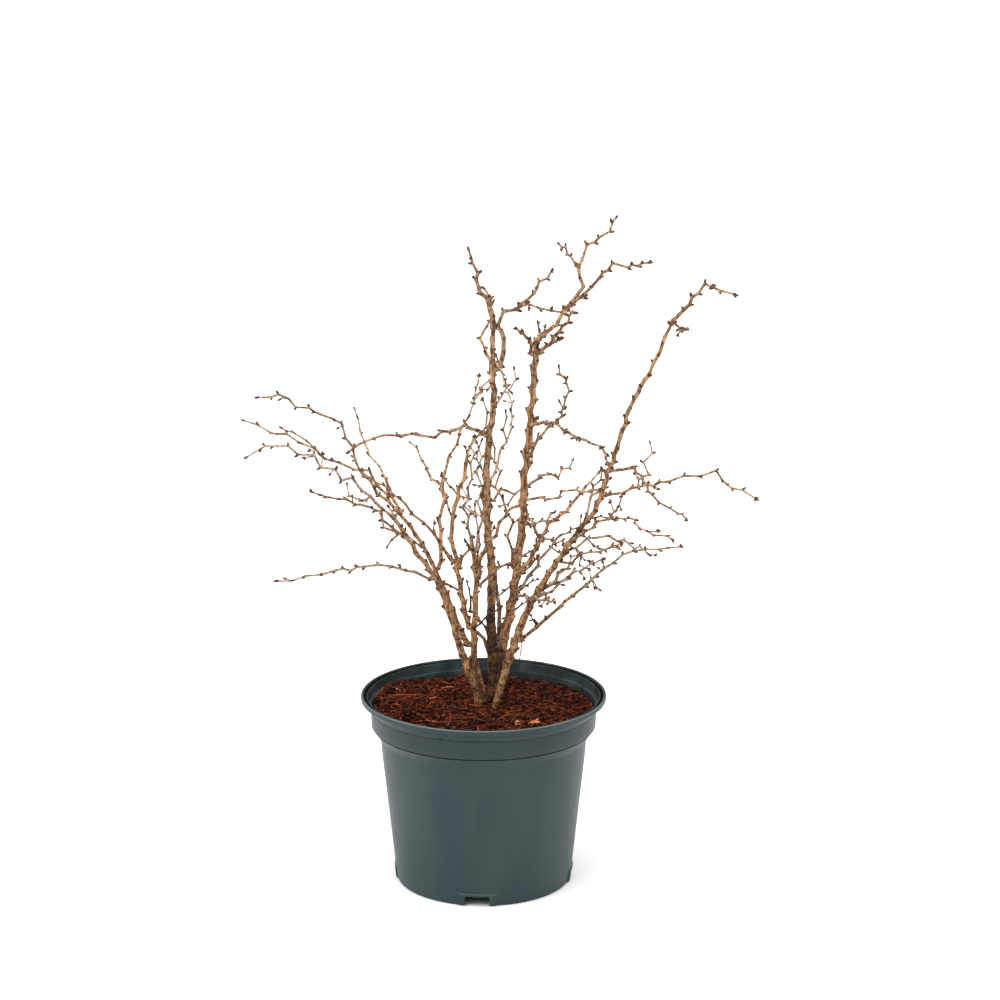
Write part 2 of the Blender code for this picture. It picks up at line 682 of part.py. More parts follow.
def plan_centre_masses(shrub):
    shrub.mass("mass_inner_left_top", "stem_left_tall", [(-13, 57, 325), (-6, 61, 335),
               (0, 66, 343), (2, 75, 356), (-1, 84, 364)])
    shrub.mass("mass_inner_front", "stem_left_inner", [(-9, -7, 273), (-12, -16, 287),
               (-13, -32, 308), (-9, -48, 329), (-8, -62, 348), (-7, -72, 360), (-6, -82, 370)],
               [[(-13, -34, 311), (-21, -50, 321), (-24, -60, 328), (-30, -80, 341)],
                [(-13, -26, 300), (-6, -40, 299), (-6, -50, 311)]])
    shrub.mass("mass_inner_mid", "stem_left_inner", [(-7, -4, 260), (-3, 2, 275), (-2, 14, 299),
               (-3, 26, 316), (-5, 38, 339)])
    shrub.mass("mass_front_left", "stem_centre", [(4, -9, 355), (-4, -20, 361), (-15, -34, 367),
               (-26, -47, 366), (-39, -62, 365), (-59, -84, 372), (-80, -106, 374),
               (-95, -122, 367)])
    shrub.mass("mass_top_left", "stem_centre", [(8, -24, 440), (8, -28, 450), (2, -36, 462),
               (-2, -42, 471), (-5, -50, 482), (-5, -58, 492), (-10, -66, 504)],
               [[(7, -30, 452), (6, -24, 460), (1, -18, 468)]])
    shrub.mass("mass_top_centre", "stem_centre", [(9, -18, 406), (16, -20, 420), (14, -23, 433),
               (13, -28, 443), (19, -34, 453), (27, -42, 459), (39, -56, 472), (44, -66, 483),
               (50, -79, 491)],
               [[(25, -40, 457), (35, -50, 462), (49, -66, 458), (67, -84, 461)]], 1.4)
    shrub.mass("mass_top_inner", "stem_centre", [(7, -16, 399), (4, -6, 412), (1, 4, 421),
               (-2, 10, 426), (5, 28, 436)])
    shrub.mass("mass_back_tall", "stem_centre", [(3, 0, 309), (10, 18, 323), (13, 32, 335),
               (20, 46, 343), (22, 60, 354), (21, 78, 371), (24, 98, 386)],
               [[(20, 46, 343), (17, 38, 353), (17, 28, 366)]])
    shrub.mass("mass_back_inner", "stem_right_tall", [(26, 19, 240), (21, 28, 254), (20, 34, 264),
               (22, 42, 275), (17, 50, 284), (11, 60, 296), (10, 74, 313), (6, 94, 331)])
    shrub.mass("mass_front_crossing", "stem_left_inner", [(-5, 1, 234), (4, -16, 247),
               (15, -34, 260), (22, -46, 266), (33, -62, 277), (44, -86, 292)])
    shrub.mass("mass_front_far", "stem_left_inner", [(-6, -2, 242), (-3, -8, 254), (1, -18, 269),
               (10, -32, 285), (13, -40, 295), (18, -50, 306), (27, -60, 312), (35, -72, 320),
               (45, -86, 326), (50, -94, 324), (59, -108, 335), (70, -124, 338), (83, -148, 346)],
               (), 1.5)
    shrub.mass("mass_front_low", "stem_right_tall", [(24, 20, 219), (33, 2, 225), (39, -16, 229),
               (44, -30, 230), (49, -44, 236), (54, -66, 239)])
    shrub.mass("mass_far_back", "stem_back", [(4, 112, 287), (3, 128, 303), (4, 140, 319),
               (-10, 152, 326)])
    shrub.mass("mass_far_back_right", "stem_back", [(4, 106, 275), (15, 118, 285), (23, 130, 276),
               (31, 138, 280), (36, 146, 297), (44, 156, 320)],
               [[(22, 128, 276), (18, 138, 266), (12, 148, 262)]])


def plan_right_masses(shrub):
    shrub.mass("mass_fork", "stem_right_tall", [(39, 10, 412), (35, 3, 425), (30, -4, 432),
               (25, -12, 437)], (), 1.4)
    shrub.mass("mass_fork_right", "stem_right_tall", [(39, 10, 414), (55, -4, 431),
               (66, -23, 451)])
    shrub.mass("mass_top_high", "bough_top_right", [(67, 18, 452), (75, 22, 464), (73, 29, 477),
               (81, 38, 495), (90, 43, 497), (101, 53, 511)],
               [[(73, 28, 474), (66, 50, 483), (58, 69, 489)]])
    shrub.mass("mass_top_right", "bough_top_right", [(64, 17, 449), (81, 4, 465),
               (95, -16, 485), (108, -30, 486), (122, -43, 491)])
    shrub.mass("mass_right_upper", "stem_right_tall", [(35, 15, 332), (44, -14, 357),
               (57, -40, 375), (62, -66, 401), (55, -90, 423)])
    shrub.mass("mass_front_mid", "stem_right_tall", [(36, 13, 358), (52, -14, 366),
               (69, -54, 363), (87, -90, 363), (90, -106, 355)])
    shrub.mass("mass_back_mid", "stem_right_tall", [(31, 16, 307), (49, 50, 312),
               (58, 70, 305), (71, 102, 311)])
    shrub.mass("mass_front_inner", "stem_right_tall", [(30, 17, 288), (38, -8, 287),
               (46, -30, 294), (53, -58, 307)])
    shrub.mass("mass_back_low", "stem_right_tall", [(29, 18, 279), (35, 24, 279), (40, 34, 272),
               (43, 50, 261), (52, 68, 254), (66, 99, 243)])
    shrub.mass("mass_right_inner", "stem_right_tall", [(26, 20, 224), (34, 15, 239), (44, 10, 253),
               (50, 5, 261), (53, -1, 269), (61, -8, 279), (71, -18, 285)],
               [[(50, 5, 261), (57, 12, 258), (64, 22, 258)]], 1.5)
    shrub.mass("mass_leaning_top", "stem_leaning", [(139, -28, 443), (148, -32, 454),
               (157, -38, 469), (166, -42, 474), (175, -48, 473), (184, -53, 469)],
               [[(143, -30, 447), (148, -14, 436), (153, 1, 435)]])
    shrub.mass("mass_right_low", "bough_low_right", [(76, -46, 248), (91, -62, 266),
               (112, -84, 285), (122, -94, 288), (143, -117, 296)])
    shrub.mass("mass_right_far", "stem_leaning", [(90, -17, 309), (118, -26, 319),
               (154, -36, 329), (172, -40, 334), (184, -43, 323), (203, -48, 315)],
               [[(112, -24, 317), (123, -4, 324), (127, 20, 336), (128, 29, 341)]])
    shrub.mass("mass_right_back", "stem_leaning", [(95, -18, 328), (111, 0, 328),
               (122, 14, 316), (131, 28, 299), (159, 58, 273)])
    shrub.mass("mass_right_front", "stem_leaning", [(67, -13, 274), (87, -40, 295),
               (97, -56, 305), (102, -74, 323)],
               [[(90, -46, 298), (109, -78, 307), (119, -100, 303), (136, -132, 305)]])
    shrub.mass("mass_right_low_back", "stem_leaning", [(61, -11, 264), (88, 20, 269),
               (108, 40, 260), (136, 76, 239)], [[(80, 12, 267), (90, 32, 256), (108, 60, 251)]])
    shrub.mass("mass_right_end", "bough_right", [(78, 83, 291), (88, 97, 297), (94, 111, 302)])
    shrub.mass("mass_low_back", "stem_leaning", [(42, -8, 233), (56, 14, 236), (68, 36, 245),
               (76, 51, 248)])
    shrub.mass("mass_low_front", "stem_leaning", [(41, -8, 229), (50, -17, 234), (57, -24, 242),
               (62, -34, 250), (70, -48, 259), (79, -64, 268), (88, -82, 278)])


# Turning the grown lines into solids

def section_curve(sides, cutters):
    """The many-sided section that a stem or a twig is swept with."""
    curve = bpy.data.curves.new("section", "CURVE")
    curve.dimensions = "2D"
    curve.fill_mode = "NONE"
    spline = curve.splines.new("POLY")
    spline.points.add(sides - 1)
    for index, point in enumerate(spline.points):
        turn = 2 * math.pi * index / sides
        point.co = (MM * math.cos(turn), MM * math.sin(turn), 0.0, 1.0)
    spline.use_cyclic_u = True
    section = object_from(curve, "section_%d" % sides, cutters)
    section.hide_render = True
    section.display_type = "WIRE"
    return section


def tube(name, points, radii, section, group):
    """A closed tapering tube along the points, welded into one mesh."""
    curve = bpy.data.curves.new(name, "CURVE")
    curve.dimensions = "3D"
    curve.bevel_mode = "OBJECT"
    curve.bevel_object = section
    curve.use_fill_caps = True
    curve.resolution_u = 1
    spline = curve.splines.new("POLY")
    spline.points.add(len(points) - 1)
    for target, point, radius in zip(spline.points, points, radii):
        target.co = (*(point * MM), 1.0)
        target.radius = radius
    made = as_mesh_object(object_from(curve, name, group), name, group)
    bpy.data.curves.remove(curve)
    return made


def bud(base, direction, group):
    """A pointed bud of eight faces, sunk a little into its twig."""
    shape = bmesh.new()
    bmesh.ops.create_uvsphere(shape, u_segments=4, v_segments=2, radius=0.5)
    mesh = bpy.data.meshes.new("bud")
    shape.to_mesh(mesh)
    shape.free()
    size = Matrix.Diagonal((BUD_WIDTH * MM, BUD_WIDTH * MM, BUD_LENGTH * MM, 1.0))
    turn = direction.to_track_quat("Z", "Y").to_matrix().to_4x4()
    place = Matrix.Translation((base + direction * BUD_LENGTH * 0.42) * MM)
    mesh.transform(place @ turn @ size)
    return object_from(mesh, "bud", group)


def sides_of(name):
    """Stools are nearly round, stems have six sides and twigs three."""
    if name.startswith("stool"):
        return STOOL_SIDES
    return TWIG_SIDES if name.startswith("mass") else STEM_SIDES


def make_limb(limb, sections, parts, joined):
    section = sections[sides_of(limb.name)]
    piece = tube(limb.name, limb.points, limb.radii, section, parts)
    for points, radii in limb.arms:
        tube("arm", points, radii, section, joined)
    for base, direction in limb.buds:
        bud(base, direction, joined)
    if limb.arms or limb.buds:
        boolean(piece, "UNION", joined)
    material_for(piece, "young bark" if limb.name.startswith("mass") else "old bark", 0.75)
    smooth_shading(piece, 60.0)


def main():
    empty_scene()
    parts = new_collection("potted_winter_cherry")
    cutters = new_collection("cutters")
    joined = new_collection("joined")
    make_pot(parts, cutters)
    make_compost(parts)
    make_mulch(parts, cutters)
    shrub = Shrub()
    plan_stems(shrub)
    plan_left_masses(shrub)
    plan_centre_masses(shrub)
    plan_right_masses(shrub)
    sections = {sides: section_curve(sides, cutters) for sides in (STOOL_SIDES, STEM_SIDES, TWIG_SIDES)}
    for limb in shrub.limbs.values():
        make_limb(limb, sections, parts, joined)
    for section in sections.values():
        bpy.data.objects.remove(section, do_unlink=True)
    triangles = sum(len(face.vertices) - 2 for piece in parts.objects for face in piece.data.polygons)
    print("pieces", len(parts.objects), "triangles", triangles)


main()
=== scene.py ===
# %% [markdown]
# # A flowering cherry in its winter state
#
# The plant is a dwarf cherry as a nursery sells it in winter: a bare shrub of many
# thin stems, its zigzag twigs set with small dark buds, in a slate-green plastic pot
# under a layer of shredded bark. The solids of the plant are already packed, so the
# script loads them as a fixed frame and builds the fine surfaces around them.

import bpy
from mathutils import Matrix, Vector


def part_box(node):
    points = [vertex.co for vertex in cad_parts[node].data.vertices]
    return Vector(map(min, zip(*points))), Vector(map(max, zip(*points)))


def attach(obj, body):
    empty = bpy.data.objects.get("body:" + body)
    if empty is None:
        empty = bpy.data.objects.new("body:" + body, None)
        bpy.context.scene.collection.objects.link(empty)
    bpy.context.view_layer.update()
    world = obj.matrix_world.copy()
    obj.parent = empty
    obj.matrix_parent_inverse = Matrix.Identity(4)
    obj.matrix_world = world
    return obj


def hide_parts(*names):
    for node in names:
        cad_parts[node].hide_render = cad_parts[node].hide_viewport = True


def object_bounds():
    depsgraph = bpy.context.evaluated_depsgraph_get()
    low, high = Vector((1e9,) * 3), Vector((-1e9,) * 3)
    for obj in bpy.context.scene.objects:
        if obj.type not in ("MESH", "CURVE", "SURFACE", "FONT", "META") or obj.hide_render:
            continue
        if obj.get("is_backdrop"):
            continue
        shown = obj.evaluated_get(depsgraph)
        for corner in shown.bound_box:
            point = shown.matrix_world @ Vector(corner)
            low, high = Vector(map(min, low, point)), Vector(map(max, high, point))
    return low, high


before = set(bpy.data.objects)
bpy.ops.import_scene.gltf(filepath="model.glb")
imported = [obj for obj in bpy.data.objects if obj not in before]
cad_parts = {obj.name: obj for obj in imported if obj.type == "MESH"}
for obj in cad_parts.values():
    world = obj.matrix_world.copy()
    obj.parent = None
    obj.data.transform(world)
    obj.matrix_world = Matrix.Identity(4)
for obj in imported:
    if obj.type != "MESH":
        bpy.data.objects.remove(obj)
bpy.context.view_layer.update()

# %% Blender's modules and the unit
import math
import random

import bpy
import numpy as np
from mathutils import Matrix, Vector

MM = 0.001

# %% [markdown]
# ## The camera
#
# A nursery photographs its plants from a couple of metres away with a long lens, a
# little above the rim, so that the mulch shows as an ellipse. The rim's and the foot's
# ellipses fix how far away the camera is and how much it looks down.

# %% Camera
CAMERA_PLACE = Vector((0.0127, -2.0, 0.782))
CAMERA_PITCH = math.radians(13.48)
FOCUS_IN_FRAMES = 2.701
SENSOR = 36.0

lens = bpy.data.cameras.new("camera")
lens.sensor_width = SENSOR
lens.lens = FOCUS_IN_FRAMES * SENSOR
camera = bpy.data.objects.new("camera", lens)
camera.location = CAMERA_PLACE
camera.rotation_euler = (math.pi / 2 - CAMERA_PITCH, 0.0, 0.0)
bpy.context.scene.collection.objects.link(camera)
bpy.context.scene.camera = camera
print("lens", round(lens.lens, 1), "mm")

# %% [markdown]
# ## Writing shader maths as expressions
#
# A node tree is easier to read as a formula. The class below wraps one socket of a
# tree: adding, multiplying and subtracting adds a Math node, and colours are mixed
# with Mix nodes. Every other node comes from its method `node`.

# %% A socket that does sums
class Sock:
    def __init__(self, tree, link):
        self.tree = tree
        self.link = link

    def node(self, kind, settings=None, output=0, **inputs):
        """A new node. Its inputs go by name, or by number after an underscore."""
        made = self.tree.nodes.new(kind)
        for key, value in (settings or {}).items():
            setattr(made, key, value)
        for name, value in inputs.items():
            socket = made.inputs[int(name[1:]) if name[1:].isdigit() else name.replace("_", " ")]
            if isinstance(value, Sock):
                self.tree.links.new(value.link, socket)
            else:
                socket.default_value = value
        return Sock(self.tree, made.outputs[output])

    def maths(self, operation, other):
        return self.node("ShaderNodeMath", {"operation": operation}, _0=self, _1=other)

    def __add__(self, other):
        return self.maths("ADD", other)

    def __mul__(self, other):
        return self.maths("MULTIPLY", other)

    def __sub__(self, other):
        return self.maths("SUBTRACT", other)

    def height(self):
        """The upward part of a vector."""
        return self.node("ShaderNodeSeparateXYZ", None, 2, Vector=self)

    def between(self, low, high):
        """0 below low, 1 above high, and a smooth rise between them."""
        settings = {"interpolation_type": "SMOOTHSTEP"}
        return self.node("ShaderNodeMapRange", settings, Value=self, From_Min=low, From_Max=high)

    def blend(self, below, above):
        """One colour where this is 0, the other where it is 1."""
        below = below if isinstance(below, Sock) else (*below, 1.0)
        above = above if isinstance(above, Sock) else (*above, 1.0)
        return self.node("ShaderNodeMix", {"data_type": "RGBA"}, 2, _0=self, _6=below, _7=above)

    def noise(self, scale, detail=2.0, stretch=(1.0, 1.0, 1.0), roughness=0.5):
        """Cloudy noise over a vector socket, stretched along its axes."""
        place = self.node("ShaderNodeMapping", None, 0, Vector=self, Scale=stretch)
        return self.node("ShaderNodeTexNoise", None, 0, Vector=place, Scale=scale, Detail=detail,
                         Roughness=roughness)


# %% A new material
def new_material(name, roughness, shine):
    """A material, its shader, and a socket with Object coordinates."""
    material = bpy.data.materials.new(name)
    material.use_nodes = True
    tree = material.node_tree
    shader = tree.nodes["Principled BSDF"]
    shader.inputs["Roughness"].default_value = roughness
    shader.inputs["Specular IOR Level"].default_value = shine
    place = Sock(tree, tree.nodes.new("ShaderNodeTexCoord").outputs["Object"])
    return material, shader, place


def feed(shader, name, value):
    value.tree.links.new(value.link, shader.inputs[name])


def bump(shader, height, strength, distance):
    feed(shader, "Normal", height.node("ShaderNodeBump", None, 0, Height=height,
                                       Strength=strength, Distance=distance))


def speckled(name, finish, noise, limits, dark, light, relief=None):
    """A material whose noise runs from one colour to another, with a bump of it."""
    material, shader, place = new_material(name, *finish)
    specks = place.noise(*noise)
    feed(shader, "Base Color", specks.between(*limits).blend(dark, light))
    if relief:
        bump(shader, specks, *relief)
    return material


# %% [markdown]
# ## Handing pieces over
#
# Everything made here stands on one rigid body, so each finished piece rides on
# `root`, and the solids it stands for are hidden.

# %% Finishing a piece
def select_only(*pieces):
    """Object mode, with these pieces selected and the first of them active."""
    if bpy.context.mode != "OBJECT":
        bpy.ops.object.mode_set(mode="OBJECT")
    bpy.ops.object.select_all(action="DESELECT")
    for piece in pieces:
        piece.select_set(True)
    if pieces:
        bpy.context.view_layer.objects.active = pieces[0]


def primitive(kind, **settings):
    """One of the simple shapes, its place and turn made part of its mesh."""
    select_only()
    getattr(bpy.ops.mesh, f"primitive_{kind}_add")(**settings)
    bpy.ops.object.transform_apply(location=True, rotation=True, scale=True)
    return bpy.context.active_object


def weld(piece, distance):
    """Merge doubled points and turn the normals outward."""
    select_only(piece)
    bpy.ops.object.mode_set(mode="EDIT")
    bpy.ops.mesh.select_all(action="SELECT")
    bpy.ops.mesh.remove_doubles(threshold=distance)
    bpy.ops.mesh.normals_make_consistent(inside=False)
    bpy.ops.object.mode_set(mode="OBJECT")


def hand_over(piece, slot, *nodes):
    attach(piece, "root")
    if nodes:
        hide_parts(*nodes)
    count = sum(len(face.vertices) - 2 for face in piece.data.polygons)
    print(piece.name, count, "triangles")


def piece_from_arrays(name, points, quads, triangles, material, smooth=True):
    """One mesh from arrays of points in millimetres and of corner numbers."""
    quads = np.asarray(quads, dtype=np.int32).reshape(-1, 4)
    triangles = np.asarray(triangles, dtype=np.int32).reshape(-1, 3)
    mesh = bpy.data.meshes.new(name)
    mesh.vertices.add(len(points))
    mesh.vertices.foreach_set("co", np.asarray(points * MM, dtype=np.float32).ravel())
    corners = np.concatenate([quads.ravel(), triangles.ravel()])
    mesh.loops.add(len(corners))
    mesh.loops.foreach_set("vertex_index", corners)
    starts = np.concatenate([np.arange(len(quads)) * 4,
                             len(quads) * 4 + np.arange(len(triangles)) * 3])
    mesh.polygons.add(len(starts))
    mesh.polygons.foreach_set("loop_start", starts.astype(np.int32))
    mesh.update(calc_edges=True)
    mesh.validate()
    mesh.polygons.foreach_set("use_smooth", np.full(len(mesh.polygons), smooth))
    mesh.materials.append(material)
    piece = bpy.data.objects.new(name, mesh)
    bpy.context.scene.collection.objects.link(piece)
    return piece


# %% [markdown]
# ## Growing the shrub by the solids' own rule
#
# The limbs are grown again exactly as the solids were: a few bends for each limb, a
# smooth line through them, a seeded zigzag, and a test that keeps each twig clear of
# its neighbours. The seeds are the limbs' names, so the same twigs come out, and the
# finer work below starts from lines that lie inside the solids.

# %% The shrub's sizes in millimetres
MULCH_TOP = 139.0
CLEAR = 0.4
STEM_SPACING = 17.0
TWIG_SPACING = 12.0
STEM_ZIGZAG = 0.55
TWIG_ZIGZAG = 1.1
TWIG_TIP, ARM_TIP = 0.62, 0.58
SPUR_LENGTH = (4.0, 9.0)
SPUR_RADIUS = 0.55
SPUR_SHARE = 0.2
BUD_SHARE = 0.5
BUD_LENGTH = 4.2
BUD_WIDTH = 2.7
FOOT_FLARE = 1.6
FLARE_HEIGHT = 7.0
FOOT_RISE = 3.0
GOLDEN_TURN = math.radians(137.5)
LIMB_TRIES, LIMB_NUDGE = 60, 0.22
ARM_TRIES, ARM_NUDGE = 40, 0.25


# %% A limb and its line
class Limb:
    def __init__(self, name, points, radii):
        self.name = name
        self.points = points
        self.radii = radii
        self.arms = []


def places(text):
    """Places in millimetres from a text of them, x,y,z with commas and no spaces."""
    return [Vector([float(number) for number in place.split(",")]) for place in text.split()]


def mixed(low, high, share):
    return low + (high - low) * share


def smooth_line(knots, spacing):
    """A smooth line through the knots, in steps of about one spacing."""
    fine = []
    ends = [knots[0] * 2 - knots[1]] + knots + [knots[-1] * 2 - knots[-2]]
    for a, b, c, d in zip(ends, ends[1:], ends[2:], ends[3:]):
        for step in range(10):
            t = step / 10.0
            fine.append(0.5 * (2 * b + (c - a) * t + (2 * a - 5 * b + 4 * c - d) * t * t
                               + (3 * b - a - 3 * c + d) * t * t * t))
    fine.append(knots[-1])
    lengths = [0.0]
    for first, second in zip(fine, fine[1:]):
        lengths.append(lengths[-1] + (second - first).length)
    count = max(2, round(lengths[-1] / spacing))
    line = []
    for step in range(count + 1):
        wanted = lengths[-1] * step / count
        index = max(i for i, length in enumerate(lengths) if length <= wanted + 1e-9)
        index = min(index, len(fine) - 2)
        share = (wanted - lengths[index]) / max(1e-9, lengths[index + 1] - lengths[index])
        line.append(fine[index].lerp(fine[index + 1], share))
    return line


def sideways(direction):
    """Two directions square to the given one and to each other."""
    guide = Vector((0, 0, 1)) if abs(direction.z) < 0.8 else Vector((1, 0, 0))
    first = direction.cross(guide).normalized()
    return first, direction.cross(first).normalized()


def facing(along, turn):
    """The direction square to a line, at a turn about it."""
    first, second = sideways(along)
    return first * math.cos(turn) + second * math.sin(turn)


def zigzag(line, amount, chance):
    """The line with its inner points set off to one side and the other by turns."""
    turn = chance.uniform(0, math.tau)
    bent = [line[0].copy()]
    for before, point, after in zip(line, line[1:], line[2:]):
        turn += math.pi + chance.uniform(-0.7, 0.7)
        size = amount * chance.uniform(0.6, 1.3)
        bent.append(point + size * facing((after - before).normalized(), turn))
    bent.append(line[-1].copy())
    return bent


def shaken(point, size, chance):
    """The point, moved at random by up to a size along each axis."""
    return point + Vector([chance.uniform(-size, size) for _ in range(3)])


def tapered(count, root, tip):
    return [root + (tip - root) * (index / (count - 1)) ** 0.85 for index in range(count)]


# %% Keeping limbs apart
def nearest_on(points, radii, index, wanted):
    """A stretch's nearest place to a point, the radius there and its share of the stretch."""
    along = points[index + 1] - points[index]
    share = min(1.0, max(0.0, (wanted - points[index]).dot(along) / along.length_squared))
    return points[index] + along * share, mixed(radii[index], radii[index + 1], share), share


def segment_distances(p, q, starts, ends):
    """Shortest distances from the segment p-q to many segments at once."""
    u = q - p
    v = ends - starts
    w = p - starts
    a = u @ u
    b = v @ u
    c = np.einsum("ij,ij->i", v, v)
    d = w @ u
    e = np.einsum("ij,ij->i", v, w)
    spread = a * c - b * b
    s = np.where(spread > 1e-9, (b * e - c * d) / np.maximum(spread, 1e-9), 0.0)
    s = np.clip(s, 0.0, 1.0)
    t = np.clip((b * s + e) / np.maximum(c, 1e-9), 0.0, 1.0)
    s = np.clip((b * t - d) / max(a, 1e-9), 0.0, 1.0)
    near = w + s[:, None] * u - t[:, None] * v
    return np.sqrt(np.einsum("ij,ij->i", near, near))


class Thicket:
    """Every limb grown so far, as segments with a radius, for keeping limbs apart."""

    def __init__(self):
        self.starts = []
        self.ends = []
        self.sizes = []
        self.owners = []

    def add(self, owner, points, radii):
        for index in range(len(points) - 1):
            self.starts.append(points[index])
            self.ends.append(points[index + 1])
            self.sizes.append(max(radii[index], radii[index + 1]))
            self.owners.append(owner)

    def clear(self, owner, parent, points, radii):
        """True where a line keeps its distance; near its root the parent doesn't count."""
        starts = np.array(self.starts)
        ends = np.array(self.ends)
        sizes = np.array(self.sizes)
        others = np.array([name != owner for name in self.owners])
        for index in range(len(points) - 1):
            size = max(radii[index], radii[index + 1])
            counted = others
            if index == 0:
                counted = others & np.array([name != parent for name in self.owners])
            if not counted.any():
                continue
            gaps = segment_distances(np.array(points[index]), np.array(points[index + 1]),
                                     starts[counted], ends[counted])
            if (gaps < sizes[counted] + size * 1.08 + CLEAR).any():
                return False
        return True


# %% The shrub and its rules
class Shrub:
    def __init__(self):
        self.limbs = {}
        self.thicket = Thicket()

    def rooted(self, name, radii, through):
        """A limb from its flat cut on the mulch."""
        knots = places(through)
        knots[0].z = MULCH_TOP + CLEAR
        chance = random.Random(name)
        line = smooth_line([knots[0] + Vector((0, 0, FOOT_RISE))] + knots[1:], STEM_SPACING * 0.6)
        points = [knots[0]] + zigzag(line, STEM_ZIGZAG, chance)
        sizes = tapered(len(points), *radii)
        for index, point in enumerate(points):
            sizes[index] += FOOT_FLARE * math.exp(-(point.z - knots[0].z) / FLARE_HEIGHT)
        self.keep(Limb(name, points, sizes))

    def keep(self, limb):
        self.limbs[limb.name] = limb
        self.thicket.add(limb.name, limb.points, limb.radii)
        return limb

    def fork(self, parent, wanted, towards, radius):
        """Where a limb leaves its parent: just clear of the bark, on the side it heads for."""
        points = parent.points
        nearest = math.inf
        for index in range(len(points) - 1):
            on_core, size, share = nearest_on(points, parent.radii, index, wanted)
            distance = (wanted - on_core).length
            if distance < nearest - 1e-6:
                nearest, place, thickness, position = distance, on_core, size, index + share
                along = (points[index + 1] - points[index]).normalized()
        heading = (towards - place).normalized()
        if position > len(points) - 1 - 0.02:
            across = heading - along * heading.dot(along)
            offset = max(0.0, thickness - radius * 0.3) if thickness > 4.0 else 0.0
            start = points[-1] + along * CLEAR + across.normalized() * offset
            return [start, start + along * (thickness + radius * 1.1 + 0.1)]
        across = heading - along * heading.dot(along)
        across.normalize()
        lean = min(0.55, max(-0.3, heading.dot(along)))
        leave = (across * math.sqrt(1 - lean * lean) + along * lean).normalized()
        rise = (thickness + CLEAR + radius * abs(lean)) / leave.dot(across)
        start = place + leave * rise
        return [start, start + leave * (radius * 1.2 + 1.0)]

    def grow(self, name, parent, radii, through, spacing=STEM_SPACING, amount=STEM_ZIGZAG):
        """A limb that leaves its parent near the first knot and runs through the others."""
        wanted = places(through)
        chance = random.Random(name)
        for attempt in range(LIMB_TRIES):
            size = attempt * LIMB_NUDGE
            knots = [shaken(point, size, chance) for point in wanted[:-1]]
            knots.append(shaken(wanted[-1], size * 0.35, chance))
            root = self.fork(self.limbs[parent], knots[0], knots[1], radii[0])
            line = smooth_line([root[1]] + knots[1:], spacing)
            points = [root[0]] + zigzag(line, amount, chance)
            sizes = tapered(len(points), *radii)
            if self.thicket.clear(name, parent, points, sizes):
                return self.keep(Limb(name, points, sizes))
        print("no room for", name)

    def mass(self, name, parent, root, through, *arms):
        """A mass of twigs: one stem, its arms, and short spurs and buds by a seeded rule."""
        limb = self.grow(name, parent, (root, TWIG_TIP), through, TWIG_SPACING, TWIG_ZIGZAG)
        if limb is None:
            return
        chance = random.Random(name + " twigs")
        self.end_bud(limb.points, limb.radii)
        for arm in arms:
            self.arm(limb, arm, chance)
        for points, radii in [(limb.points, limb.radii)] + limb.arms:
            self.spurs(limb, points, radii, chance)

    def end_bud(self, points, radii):
        """A bud swells at the end of a twig."""
        along = (points[-1] - points[-2]).normalized()
        tip = points[-1]
        for step, size in ((0.42, BUD_WIDTH / 2), (1.0, 0.15)):
            points.append(tip + along * BUD_LENGTH * step)
            radii.append(size)

    def arm(self, limb, through, chance):
        """A side twig of a mass, fused to its stem."""
        wanted = places(through)
        nearest = min(limb.points[:-2], key=lambda point: (point - wanted[0]).length)
        root = limb.radii[limb.points.index(nearest)] * 0.85
        for attempt in range(ARM_TRIES):
            size = attempt * ARM_NUDGE
            knots = [nearest.copy()] + [shaken(point, size, chance) for point in wanted[1:]]
            points = zigzag(smooth_line(knots, TWIG_SPACING), TWIG_ZIGZAG, chance)
            radii = tapered(len(points), max(TWIG_TIP, root), ARM_TIP)
            if self.thicket.clear(limb.name, limb.name, points, radii):
                self.end_bud(points, radii)
                self.thicket.add(limb.name, points, radii)
                limb.arms.append((points, radii))
                return
        print("no room for an arm of", limb.name)

    def spurs(self, limb, points, radii, chance):
        """Room for buds by turns at the nodes, and now and then a spur that ends in a bud."""
        name = limb.name
        turn = chance.uniform(0, math.tau)
        for index in range(1, len(points) - 3):
            along = (points[index + 1] - points[index - 1]).normalized()
            turn += GOLDEN_TURN
            leave = (facing(along, turn) + along * 0.75).normalized()
            if chance.random() < SPUR_SHARE:
                length = chance.uniform(*SPUR_LENGTH)
                spur = [points[index], points[index] + leave * length]
                sizes = [SPUR_RADIUS, SPUR_RADIUS * 0.9]
                self.end_bud(spur, sizes)
                if self.thicket.clear(name, name, spur, sizes):
                    self.thicket.add(name, spur, sizes)
                    limb.arms.append((spur, sizes))
            elif chance.random() < BUD_SHARE:
                base = points[index] + leave * radii[index] * 0.2
                bud, sizes = [base, base + leave * BUD_LENGTH], [BUD_WIDTH / 2] * 2
                if self.thicket.clear(name, name, bud, sizes):
                    self.thicket.add(name, bud, sizes)


# %% [markdown]
# ## The shrub's plan
#
# Each limb is named with where it forks, bends and ends, as x,y,z in millimetres. The
# first place is on its parent, the last its tip. A stem or a bough also has its radius
# at the root and at the tip. A mass of twigs has the radius at its root, then the line
# of its stem, and the lines of its side twigs.

